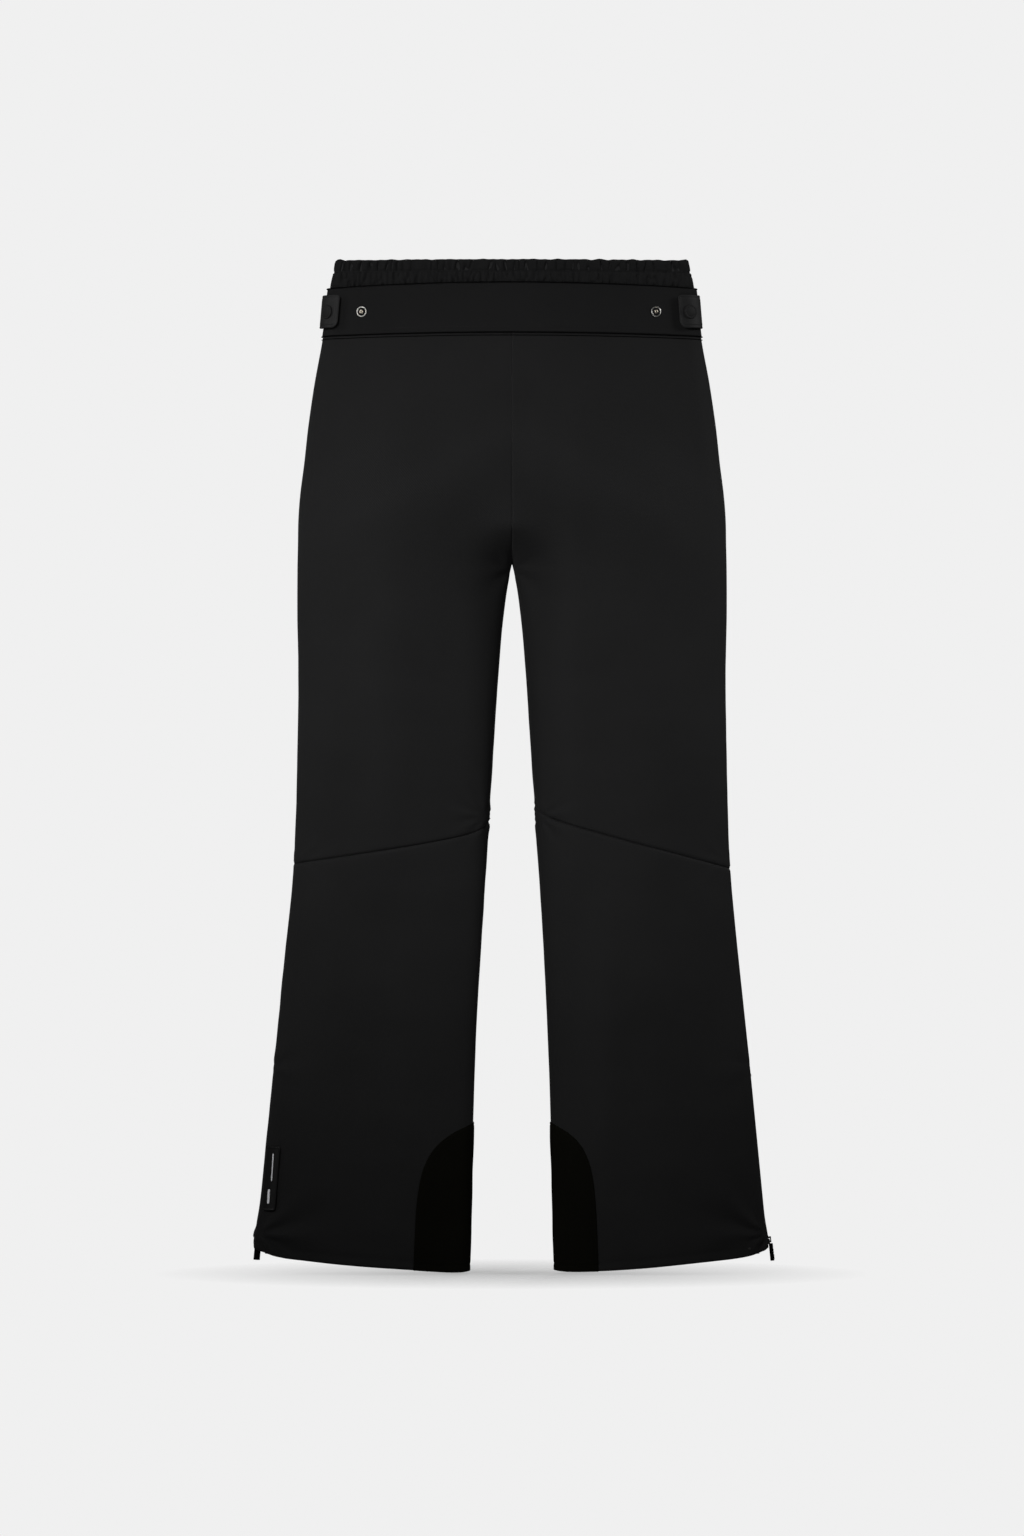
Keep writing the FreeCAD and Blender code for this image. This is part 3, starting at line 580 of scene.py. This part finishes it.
# %% [markdown]
# ## Yoke and welts
# A smooth facing, cut double so that it lies flatter than the panels, runs from the elastic to
# the seat. A narrow welt edges it above, and another below with a finer cord under it. The welts
# are coloured darker than the cloth, which paints the thin shadow lines along the yoke's edges.
# They are grids closed both ways round, which gives an even cord of cloth along an arched line
# without any sweep.

# %% Yoke, front and back
def round_waist(z, share):
    """Distance and turn at a share of the whole way round, from the back middle."""
    way = (share * 2 - 1) * way_at(z, math.pi)
    return way, turn_at(z, way)


def at_side_seam(z, way):
    return bell(abs(way) - way_at(z, RIGHT_ANGLE), 2.4)


def yoke_piece(node, face):
    def place(u, v):
        z = -50.0
        for _ in range(2):
            way = (2 * u - 1) * way_at(z, RIGHT_ANGLE)
            share = abs(spot(z, turn_at(z, way)).x / MM) / (oval(z)[1] + oval(z)[2])
            low, high = yoke_foot_line(share), yoke_top_line(share)
            z = low + (high - low) * v
        lift = 0.8 + 0.4 * drift(way, z, 45.0, 2.0 + face) - 0.8 * at_side_seam(z, way)
        return way * MM, z * MM, spot(z, turn_at(z, way), lift, 1, face)

    made = grid_piece(node + "_cloth", 200, 24, place, yoke_cloth,
                      outward=lambda p: Vector((0, -face, 0)))
    thicken(made, CLOTH)
    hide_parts(node)
    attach(made, "waist_and_seat")


def welt(name, node, line, across, proud, lift, offset=0.0):
    """A cord of cloth round the whole waist along an arched line."""
    def place(u, v):
        way, turn = round_waist(line(0.5), u)
        share = abs(spot(line(0.5), turn).x / MM) / (oval(line(0.5))[1] + oval(line(0.5))[2])
        angle = 2 * math.pi * v
        z = line(share) + offset + across / 2 * math.sin(angle)
        out = lift + proud * math.cos(angle)
        return way * MM, angle * across / 2 * MM, spot(z, turn_at(z, way), out)

    made = grid_piece(name, 420, 8, place, welt_cloth_with_painted_shadow, wrap=(True, True))
    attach(made, "waist_and_seat")
    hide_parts(node)


for facing, face in FACES:
    yoke_piece(facing + "_yoke", face)
welt("top_welt", "yoke_top_piping", yoke_top_line, 1.4, 0.8, 0.7, 0.6)
welt("foot_welt", "yoke_foot_piping", yoke_foot_line, 1.3, 0.7, 0.7)
welt("foot_second_welt", "yoke_foot_piping", yoke_foot_line, 0.8, 0.4, 0.3, -3.2)

# %% [markdown]
# ## The gathered elastic waist
# The casing is cloth folded over a stretched elastic, so it ruches into many small pleats when
# the elastic relaxes, and one row of channel stitching pinches them in the middle. The pleats
# are a wave whose spacing wanders, made from smooth noise, so that no two are alike. The
# elastic inside is a plain knitted band, a little thinner than the room left for it.

# %% Casing and elastic
CASING_HEIGHT, CASING_WALL, CHANNEL = 34.0, 5.8, -12.5


def pleat(way, z):
    """Pleats that wander and merge, broader above the channel than below it."""
    bend = 4.0 * noise.noise(Vector((way / 23.0, 1.5, z / 30.0)))
    above = 0.6 * math.sin((way + 2.4 * bend) * 2 * math.pi / 11.0)
    above -= 2.6 * bell(noise.noise(Vector((way / 7.5, 4.5, z / 40.0))), 0.11)
    below = 0.6 * math.sin((way + 1.6 * bend) * 2 * math.pi / 6.3)
    below -= 2.2 * bell(noise.noise(Vector((way / 5.5, 8.5, z / 16.0))), 0.12)
    share = ease((z - CHANNEL + 1.0) / 2.0)
    return 0.75 * above * share + 0.5 * below * (1 - share)


def folded_band(top, foot, wall, bend, run):
    """Height and depth at a share of a flat loop's section: up outside, down inside."""
    high = top - wall / 2
    if run < 0.425:
        return foot + (high - foot) * run / 0.425, 0.0
    if run < 0.5:
        angle = (run - 0.425) / 0.075 * math.pi
        return high + bend * math.sin(angle), wall / 2 * (1 - math.cos(angle))
    if run < 0.925:
        return high + (foot - high) * (run - 0.5) / 0.425, wall
    return foot, wall * (1 - run) / 0.075


def casing_place(u, v):
    way, turn = round_waist(-12.0, u)
    z, depth = folded_band(0.0, -CASING_HEIGHT, CASING_WALL, CASING_WALL / 2, v)
    ripple = pleat(way, z)
    pinch = 1.5 * bell(z - CHANNEL, 0.9) + 0.3 * bell(z - CHANNEL, 4.0)
    outer = -2.4 + 1.5 * ripple * (1 - 0.7 * bell(z - CHANNEL, 1.2)) - pinch
    inner = -2.9 - CASING_WALL - 0.6 * ripple + 0.5 * pinch
    top = 1.1 * noise.noise(Vector((way / 9.0, 9.0, 0.0))) + 1.7
    z += (top - 1.8 * math.cos(turn) ** 2) * ease((z + 12.0) / 12.0)
    lift = outer + (inner - outer) * depth / CASING_WALL
    return way * MM, (z + 2 * depth) * MM, spot(z, turn, lift)


def elastic_place(u, v):
    way, turn = round_waist(-12.0, u)
    z, depth = folded_band(-2.6, -CASING_HEIGHT + 1.0, 2.2, 1.1, v)
    return way * MM, (z + 2 * depth) * MM, spot(z, turn, -4.8 - depth)


def closed_band(name, columns, rows, place, material, body, node):
    made = grid_piece(name, columns, rows, place, material, wrap=(True, True))
    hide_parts(node)
    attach(made, body)
    return made


closed_band("gathered_casing", 900, 48, casing_place, casing_cloth, "waist_and_seat",
            "elastic_casing")
closed_band("knitted_elastic", 240, 20, elastic_place, elastic_knit, "waist_and_seat",
            "waist_elastic")
print("casing and elastic made")

# %% [markdown]
# ## Snap tabs
# Each tab is a moulded rubber strap sewn into the side seam. A snap holds its free end to the
# closed stud, and a second stud nearer the middle takes it in by one step. The tab is a grid
# whose rows draw in at the free end to round its corners. The snap's cap and studs are turned
# profiles, as the pressed parts really are. A dark disc under each stud's ring and post is
# painted shade for the hollow between them.

# %% Tabs, caps, sockets and studs
STUD_Z, STUD_MIDDLE, STUD_TURNED, STUD_PITCH = -55.8, 158.5, 3.5, 36.0
TAB_TOP, TAB_FOOT, TAB_BEYOND, TAB_THICK = -37.5, -72.8, 11.5, 2.2


def stud_ways(side):
    free = STUD_MIDDLE - side * STUD_TURNED
    return free, free + STUD_PITCH


def tab_lift(far, length):
    late = ease((far - 23.0) / (length - 23.0))
    return 3.5 - 3.0 * late


def tab_spot(side, far, z, up):
    """A point over the tab, at a distance from its free end."""
    snap = stud_ways(side)[1]
    root = way_at(z, math.radians(91.0))
    snap_here = way_at(z, turn_at(STUD_Z, snap))
    start = snap_here - TAB_BEYOND
    way = start + far
    return way, spot(z, turn_at(z, way), tab_lift(far, root - start) + up, side), root - start


def tab_piece(word, side):
    length = tab_spot(side, 0.0, STUD_Z, 0.0)[2]

    def place(u, v):
        far = length * u**1.4
        middle, half = (TAB_TOP + TAB_FOOT) / 2, (TAB_TOP - TAB_FOOT) / 2
        corner = 7.0 if v < 0.5 else 3.5
        drawn = corner - math.sqrt(max(0.0, corner**2 - max(0.0, corner - far) ** 2))
        z = middle + (half - drawn) * (2 * v - 1)
        edge = min(far, (half - drawn) * (1 - abs(2 * v - 1)))
        lift = TAB_THICK - 0.9 * ease((far - 18.0) / (length - 18.0))
        lift -= 0.35 * bell(edge - 2.6, 0.7) + 0.5 * bell(edge, 0.8)
        return far * MM, z * MM, tab_spot(side, far, z, lift)[1]

    made = grid_piece("rubber_tab_" + word, 64, 60, place, tab_rubber,
                      outward=lambda p: Vector((0, -1, 0)))
    thicken(made, TAB_THICK - 1.0, bevel=0.25)
    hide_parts("tab_" + word)
    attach(made, "waist_tab_" + word)


def turned(name, profile, steps, way, side, material, body, node, lift=0.0):
    made = spun(name, profile, steps, cloth_frame(STUD_Z, way, side, lift), material)
    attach(made, body)
    if node:
        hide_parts(node)
    return made


RING = ((5.5, 0.0), (5.5, 0.7), (5.3, 1.0), (5.0, 1.1), (4.7, 1.0), (4.4, 0.6), (4.4, 0.0),
        (5.5, 0.0))
POST = ((0.8, 0.1), (0.8, 1.9), (1.0, 2.2), (1.4, 2.3), (1.9, 2.1), (2.1, 1.7), (1.9, 0.9),
        (1.9, 0.1), (0.8, 0.1))
# A flat disc under each stud's ring and post, coloured dark: painted shade for the hollow between
# them.
STUD_SHADE_DISC = ((4.6, 0.35), (4.6, 0.05), (0.0, 0.05), (0.0, 0.35), (4.6, 0.35))
CAP = ((0.0, 6.75), (5.0, 6.7), (5.4, 6.5), (5.7, 6.35), (6.0, 6.6), (6.8, 6.55), (7.5, 6.3),
       (7.75, 6.0), (7.6, 5.75), (0.0, 5.75))
SOCKET = ((5.0, 1.1), (6.2, 1.3), (6.2, 3.1), (5.8, 3.3), (0.0, 3.3), (0.0, 2.8), (4.6, 2.8),
          (4.6, 1.3), (5.0, 1.1))
for word, side in SIDES:
    tab_piece(word, side)
    free, closed = stud_ways(side)
    for kind, way in (("adjust", free), ("closed", closed)):
        node = "%s_stud_%s" % (kind, word)
        turned(node + "_ring", RING, 40, way, side, nickel, "waist_and_seat", node,
               0.9)
        turned(node + "_post", POST, 32, way, side, brass, "waist_and_seat", node,
               0.9)
        # Dark disc under the ring and post: painted shade in the stud's hollow.
        turned(node + "_painted_shade_disc", STUD_SHADE_DISC, 32, way, side, cap_black_and_painted_shade, "waist_and_seat",
               node, 0.9)
    turned("snap_cap_" + word, CAP, 48, closed, side, cap_black_and_painted_shade, "waist_tab_" + word,
           "tab_cap_" + word)
    turned("snap_socket_" + word, SOCKET, 40, closed, side, nickel, "waist_tab_" + word,
           "tab_socket_" + word)
    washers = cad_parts["stud_washers_" + word]
    washers.data.materials.clear()
    washers.data.materials.append(nickel)
print("snaps at", [tuple(round(c, 3) for c in cloth_frame(STUD_Z, w, 1).translation)
                   for w in stud_ways(1)])

# %% [markdown]
# ## Scuff guards
# A coated patch covers the inner ankle, where the other boot's edge would cut the cloth. It is
# pointed at the top and widens quickly, and its foot follows the hem. It lies on both panels
# across the inseam, so it reads the same relief as they do and stands a little proud of them.

# %% Guards
def guard_piece(word, side):
    def place(u, v):
        grown = 1 - math.exp(-GUARD_SWELL * (1 - v) ** GUARD_CURVE[side])
        reach = GUARD_TIP + (GUARD_REACH[side] - GUARD_TIP) * grown
        off = (2 * u - 1) * reach
        face = 1 if off >= 0 else -1
        far = abs(off)
        z = -1000.0
        for _ in range(3):
            inner, outer = half_panel(z, side, face)
            turn = turn_at(z, inner + far)
            low = hem_line(share_across(z, turn), side) - 0.3
            z = low + (GUARD_TOP - low) * v
        inner, outer = half_panel(z, side, face)
        turn = turn_at(z, inner + far)
        lift = relief(abs(spot(z, turn).x) / MM, z, far, outer - inner - far, side, face)
        edge = min(reach - far, GUARD_TOP - z)
        lift += 0.9 - 0.5 * bell(edge, 1.2) - 0.4 * bell(edge - 3.0, 0.8) - 0.3 * bell(far, 2.0)
        lift -= 0.5 * bell(z - low - 7.0, 1.5)
        lift += 0.7 * drift(off, z, 15.0, side) * ease(edge / 8.0)
        return off * MM, z * MM, spot(z, turn, lift, side, face)

    made = grid_piece("guard_" + word, 120, 110, place, guard_cloth,
                      outward=lambda p: Vector((-side, 0, 0)))
    thicken(made, 0.8)
    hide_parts("scuff_guard_" + word)
    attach(made, "shin_" + word)


for word, side in SIDES:
    guard_piece(word, side)

# %% [markdown]
# ## Snow gaiters
# Inside each leg a thin lining cuff grips the boot and keeps snow out. It narrows towards its
# foot, where a knitted band gathers it.

# %% Gaiters and their bands
GAITER_TOP, GAITER_FOOT = -925.0, -1062.0


def gaiter_lift(z):
    return -6.4 - 4.0 * (GAITER_TOP - z) / (GAITER_TOP - GAITER_FOOT)


def gaiter_pieces(word, side):
    def cuff(u, v):
        z = GAITER_FOOT + (GAITER_TOP - GAITER_FOOT) * v
        way, turn = round_waist(z, u)
        fold = math.sin(way / 3.4 + 3 * noise.noise(Vector((way / 25.0, side, z / 90.0))))
        return way * MM, z * MM, spot(z, turn, gaiter_lift(z) + 0.8 * fold * (1 - v) ** 0.7, side)

    def band(u, v):
        z, depth = folded_band(GAITER_FOOT + 22.0, GAITER_FOOT, 1.8, 0.6, v)
        way, turn = round_waist(z, u)
        rib = 0.25 * math.sin(way * 1.6)
        return way * MM, (z + 2 * depth) * MM, spot(z, turn, gaiter_lift(z) - 2.6 - depth + rib,
                                                    side)

    made = grid_piece("cuff_" + word, 300, 40, cuff, lining_cloth, wrap=(True, False),
                      outward=lambda p: Vector((p.x - side * 0.155, p.y * 4, 0)))
    thicken(made, 0.8)
    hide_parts("gaiter_" + word)
    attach(made, "shin_" + word)
    closed_band("cuff_band_" + word, 300, 16, band, elastic_knit, "shin_" + word,
                "gaiter_elastic_" + word)


for word, side in SIDES:
    gaiter_pieces(word, side)

# %% [markdown]
# ## Ankle zips
# A moulded chain runs up each outer ankle so that the hem opens over a ski boot. Two woven
# tapes carry it behind the cloth's parted edges. The slider is cast metal with a bail, and the
# pull swings on a pin through the bail. Each hard piece is made of blocks in the zip's own
# frame: X out of the leg, Y along the leg's round, Z up the chain. The blocks of the slider, pull
# and stops are bevelled; the chain's teeth are plain.

# %% Zips
def zip_place(side):
    turn = ZIP_TURNS[side]
    here, above = spot(ZIP_FOOT, turn, 0.0, side), spot(-860.0, turn, 0.0, side)
    rise = (above - here).normalized()
    out = Vector((side * math.sin(turn), -math.cos(turn), 0))
    out = (out - out.dot(rise) * rise).normalized()
    matrix = Matrix((out, rise.cross(out), rise)).transposed().to_4x4()
    matrix.translation = here
    return matrix


def blocks(name, boxes, place, material, bevel=0.0, segments=2):
    """Bevelled blocks, each given by two corners in millimetres, in one piece."""
    bm = bmesh.new()
    for low, high in boxes:
        low, high = Vector(low), Vector(high)
        made = bmesh.ops.create_cube(bm, size=1.0)["verts"]
        size = Matrix.Diagonal((*(high - low) * MM, 1.0))
        bmesh.ops.transform(bm, matrix=Matrix.Translation((low + high) / 2 * MM) @ size, verts=made)
        if bevel:
            edges = list({e for v in made for e in v.link_edges})
            bmesh.ops.bevel(bm, geom=edges, offset=bevel * MM, affect="EDGES", segments=segments,
                            profile=0.5, material=-1)
    bmesh.ops.transform(bm, matrix=place, verts=bm.verts)
    return finish_mesh(bm, name, material, smooth=False)


TEETH, TOOTH_PITCH, TOOTH_START = 118, 1.5, -4.2
TAPE_LONG, TAPE_WIDE = 194.0, 13.0


def zip_pieces(word, side):
    place, shin = zip_place(side), "shin_" + word
    teeth = []
    for i in range(TEETH):
        for way in (1, -1):
            z = TOOTH_START + TOOTH_PITCH * i + 0.38 * way
            a, b = sorted((way * 0.3, way * 2.8))
            teeth.append(((-2.4, a, z - 0.5), (-0.6, b, z + 0.5)))
    chain = blocks("chain_" + word, teeth, place, zip_nylon)
    slider = blocks("slider_" + word, (
        ((-0.2, -4.3, -3.2), (1.2, 4.3, 4.8)), ((-0.2, -3.2, -4.8), (1.2, 3.2, -2.0)),
        ((-5.8, -4.3, -4.8), (-4.4, 4.3, 4.8)),
        ((-2.4, -4.3, -4.2), (-0.1, -3.4, 4.4)), ((-2.4, 3.4, -4.2), (-0.1, 4.3, 4.4)),
        ((-4.5, -0.25, -4.8), (-0.1, 0.25, -1.8)),
        ((1.1, -1.0, 1.3), (3.0, 1.0, 3.2)), ((1.1, -1.0, -3.2), (3.0, 1.0, -1.3)),
        ((2.9, -1.0, -3.2), (4.1, 1.0, 3.2))), place, gunmetal, 0.25)
    pull = blocks("pull_" + word, (
        ((1.1, -3.2, -22.9), (5.3, 3.2, -4.4)), ((1.8, -2.3, -21.6), (5.7, 2.3, -16.0)),
        ((1.8, -2.3, -14.6), (5.7, 2.3, -13.4)), ((1.8, -2.3, -12.2), (5.7, 2.3, -11.0)),
        ((1.1, -2.9, -5.0), (2.5, -1.6, 0.6)), ((1.1, 1.6, -5.0), (2.5, 2.9, 0.6)),
        ((1.1, -2.9, -0.6), (2.5, 2.9, 0.6))), place, pull_rubber, 0.45, 3)
    stops = blocks("stops_" + word, (
        ((-2.6, -2.9, 175.4), (-0.2, 2.9, 178.4)), ((-2.6, 0.4, -8.4), (-0.2, 2.9, -5.4)),
        ((-2.6, -2.9, -8.4), (-0.2, -0.4, -5.4))), place, gunmetal, 0.3)

    def tape(half):
        def point(u, v):
            z = ZIP_FOOT - 6.0 + TAPE_LONG * v
            way = way_at(z, ZIP_TURNS[side]) + half * (0.5 + TAPE_WIDE * u)
            return way * MM, z * MM, spot(z, turn_at(z, way), -2.5, side)
        return point

    for half, edge in ((1, "rear"), (-1, "fore")):
        made = grid_piece("tape_%s_%s" % (edge, word), 8, 60, tape(half), tape_weave,
                          outward=lambda p: Vector((side, 0, 0)))
        thicken(made, 0.7)
        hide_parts("zip_tape_" + word)
        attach(made, shin)
    for made, body, slot, node in (
            (chain, shin, "zip_teeth", "zip_chain_"), (stops, shin, "zip_metal", "zip_stops_"),
            (slider, "ankle_slider_" + word, "zip_metal", "zip_slider_"),
            (pull, "ankle_pull_" + word, "pull_rubber", "zip_pull_")):
        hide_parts(node + word)
        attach(made, body)


for word, side in SIDES:
    zip_pieces(word, side)
print("zip frame", [tuple(round(c, 4) for c in zip_place(s).translation) for s in (1, -1)])

# %% [markdown]
# ## Patch and rivet
# A thin moulded patch sits low on the outside of the wearer's right leg. Its raised rim frames
# two plain bars of different lengths, which stand in for any mark. A tiny rivet pins the hem
# near the other leg's outer corner.

# %% Patch, bars and rivet
def patch_spot(far, z, lift):
    way = way_at(z, RIGHT_ANGLE) - far
    return spot(z, turn_at(z, way), lift, -1)


def patch_grid(name, near, wide, top, long, corner, lift, columns, rows, material, lean=0.0):
    def place(u, v):
        z = top - long * (1 - v)
        edge = min(v, 1 - v) * long
        drawn = corner - math.sqrt(max(0.0, corner**2 - max(0.0, corner - edge) ** 2))
        far = near + drawn + (wide - 2 * drawn) * u + lean * (1 - v)
        rim = min(min(u, 1 - u) * wide, edge)
        raised = 0.6 * bell(rim - 1.2, 0.6) if corner > 1 else 0.0
        return far * MM, z * MM, patch_spot(far, z, lift + raised - 0.4 * bell(rim, 0.4))

    made = grid_piece(name, columns, rows, place, material, outward=lambda p: Vector((-1, -1, 0)))
    thicken(made, 1.3 if corner > 1 else 0.3)
    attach(made, "shin_right")
    return made


patch = patch_grid("hem_patch", 11.5, 17.0, -946.5, 69.0, 3.0, 1.6, 40, 90, patch_rubber, 1.0)
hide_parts("label_patch")
patch_grid("long_bar", 20.2, 1.5, -954.0, 30.0, 0.4, 1.95, 4, 24, bar_print, 1.2)
patch_grid("short_bar", 18.6, 2.8, -992.0, 16.0, 0.4, 1.95, 6, 14, bar_print, 0.6)
rivet_way = way_at(-1056.0, RIGHT_ANGLE) - 32.0
rivet = spun("rivet", ((0.0, 1.1), (0.8, 1.05), (1.5, 0.75), (1.9, 0.2), (1.85, 0.0), (0.0, 0.0)),
             24, cloth_frame(-1056.0, rivet_way, 1), gunmetal)
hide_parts("hem_rivet")
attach(rivet, "shin_left")
print("patch and rivet made")

# %% [markdown]
# ## Stitching
# Rows of short, even stitches hold the double seams. One stitch is a small six-sided dash,
# laid along the seam every 3 mm, slightly sunk into the cloth.

# %% Stitch rows
STITCH_PITCH, STITCH_SIZE = 0.003, (0.0021, 0.00042, 0.0003)


def stitch_row(name, points, body, blended=None):
    """Dashes along a dense run of (position, outward) pairs."""
    bm = bmesh.new()
    gone, wanted = 0.0, STITCH_PITCH / 2
    for (a, out), (b, _) in zip(points, points[1:]):
        step = (b - a).length
        while gone + step >= wanted:
            here = a.lerp(b, (wanted - gone) / step)
            along = (b - a).normalized()
            out_here = (out - out.dot(along) * along).normalized()
            matrix = Matrix((along, out_here.cross(along), out_here)).transposed().to_4x4()
            matrix.translation = here
            dash = Matrix.Diagonal((*STITCH_SIZE, 1.0))
            bmesh.ops.create_cube(bm, size=1.0, matrix=matrix @ dash)
            wanted += STITCH_PITCH
        gone += step
    made = finish_mesh(bm, name, thread, smooth=False)
    if blended:
        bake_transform(made)
    else:
        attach(made, body)
    return made


def panel_run(side, face, line, offset, lift):
    """Points along a line of a panel, offset in height, on its relief."""
    run = []
    for i in range(161):
        share = 0.01 + 0.98 * i / 160
        z, inner, outer, way, turn = on_panel(share, lambda s: line(s, side) + offset, side, face)
        here = panel_lift(z, inner, outer, way, turn, side, face) + lift
        out = Vector((side * math.sin(turn), -face * math.cos(turn), 0))
        run.append((spot(z, turn, here, side, face), out))
    return run


def yoke_run(line, offset, lift, face):
    run = []
    for i in range(241):
        way = (i / 120 - 1) * way_at(-55.0, RIGHT_ANGLE) * 0.99
        share = abs(spot(-55.0, turn_at(-55.0, way)).x / MM) / (oval(-55.0)[1] + oval(-55.0)[2])
        z = line(share) + offset
        turn = turn_at(z, way)
        run.append((spot(z, turn, lift, 1, face),
                    Vector((math.sin(turn), -face * math.cos(turn), 0))))
    return run


for word, side in SIDES:
    across_knee = ("upper_leg_" + word, "shin_" + word, *knee_bend(side))
    for facing, face in FACES:
        stitch_row("knee_stitch_%s_%s" % (facing, word),
                   panel_run(side, face, knee_line, 3.6, -0.1), "upper_leg_" + word)
        stitch_row("hem_stitch_%s_%s" % (facing, word),
                   panel_run(side, face, hem_line, HEM_FOLD, -0.75), None, across_knee)
for facing, face in FACES:
    stitch_row("yoke_stitch_" + facing, yoke_run(yoke_foot_line, 6.2, 0.75, face),
               "waist_and_seat")
    stitch_row("channel_stitch_" + facing, yoke_run(lambda share: CHANNEL, 0.0, -3.7, face),
               "waist_and_seat")
print("stitch rows made")

# %% [markdown]
# ## Floor, light and camera
# A pale backdrop and broad soft lights from above and in front show the near-black cloth by the
# gentle sheen of its upper half. A weak light from below fills the shade where the cloth turns
# under at the crotch. The camera stands level and well back, in front of the middle of the
# garment, so that the legs keep their true shape.

# %% Stage
def flat_light(name, where, aim, wide, tall, power, spread=180.0):
    lamp = bpy.data.lights.new(name, "AREA")
    lamp.spread = math.radians(spread)
    lamp.shape, lamp.size, lamp.size_y, lamp.energy = "RECTANGLE", wide, tall, power
    holder = bpy.data.objects.new(name, lamp)
    holder.location = where
    holder.rotation_euler = (Vector(aim) - Vector(where)).to_track_quat("-Z", "Y").to_euler()
    bpy.context.scene.collection.objects.link(holder)


def soft_world():
    """Pale grey to the camera, dimmer as light on the garment."""
    world = bpy.data.worlds.new("studio")
    bpy.context.scene.world = world
    world.use_nodes = True
    nodes, links = world.node_tree.nodes, world.node_tree.links
    seen, lit = nodes["Background"], nodes.new("ShaderNodeBackground")
    seen.inputs["Color"].default_value = (0.871, 0.871, 0.871, 1)
    lit.inputs["Color"].default_value = (0.871, 0.871, 0.871, 1)
    lit.inputs["Strength"].default_value = 0.12
    mix, path = nodes.new("ShaderNodeMixShader"), nodes.new("ShaderNodeLightPath")
    links.new(path.outputs["Is Camera Ray"], mix.inputs["Fac"])
    links.new(lit.outputs["Background"], mix.inputs[1])
    links.new(seen.outputs["Background"], mix.inputs[2])
    links.new(mix.outputs["Shader"], nodes["World Output"].inputs["Surface"])


def floor_disc_with_painted_shadow():
    """Grey floor fading into the backdrop, so no horizon shows; near the middle it paints shadow
    under the hems.
    """
    bm = bmesh.new()
    bmesh.ops.create_circle(bm, cap_ends=True, segments=64, radius=1.6)
    made, nodes, links, shader = new_material("floor with painted shadow", (0.5, 0.5, 0.5), 0.9, 0.0)
    rise = nodes.new("ShaderNodeTexGradient")
    rise.gradient_type = "SPHERICAL"
    scale = nodes.new("ShaderNodeMapping")
    scale.inputs["Scale"].default_value = (2.6, 3.6, 1.0)
    # Opacity peaks at 0.6 in the middle, so the grey shows most under the hems: painted shadow on
    # top of the real shadows the floor catches.
    ramp = nodes.new("ShaderNodeMapRange")
    ramp.inputs["To Max"].default_value = 0.6
    links.new(nodes.new("ShaderNodeTexCoord").outputs["Object"], scale.inputs["Vector"])
    links.new(scale.outputs["Vector"], rise.inputs["Vector"])
    links.new(rise.outputs["Fac"], ramp.inputs["Value"])
    links.new(ramp.outputs["Result"], shader.inputs["Alpha"])
    floor = finish_mesh(bm, "floor", made)
    floor.location = (0, 0, -1.0835)


soft_world()
floor_disc_with_painted_shadow()
for height, share in ((-0.05, 0.63), (-0.62, 1.04)):
    flat_light("key", (-1.3, -2.5, 0.7), (-0.02, 0, height), 0.9, 0.7, 1.45 * share, 25.0)
    flat_light("edge_left", (-2.4, -0.4, 0.8), (0, 0, height), 0.7, 0.7, 0.4 * share, 25.0)
    flat_light("edge_right", (2.4, -0.4, 0.8), (0, 0, height), 0.7, 0.7, 0.7 * share, 25.0)
    flat_light("behind", (0.6, 2.6, 0.7), (0, 0, height), 0.9, 0.7, 1.35 * share, 25.0)
flat_light("fill", (0.1, -2.5, -1.5), (0, 0, -0.3), 0.9, 0.7, 0.42, 22.0)
bpy.context.scene.view_settings.view_transform = "Standard"
lens = bpy.data.cameras.new("front view")
lens.lens, lens.sensor_width = 200.0, 36.0
camera = bpy.data.objects.new("front view", lens)
camera.location = (0.0, -9.13, -0.5425)
camera.rotation_euler = (RIGHT_ANGLE, 0, 0)
bpy.context.scene.collection.objects.link(camera)
bpy.context.scene.camera = camera
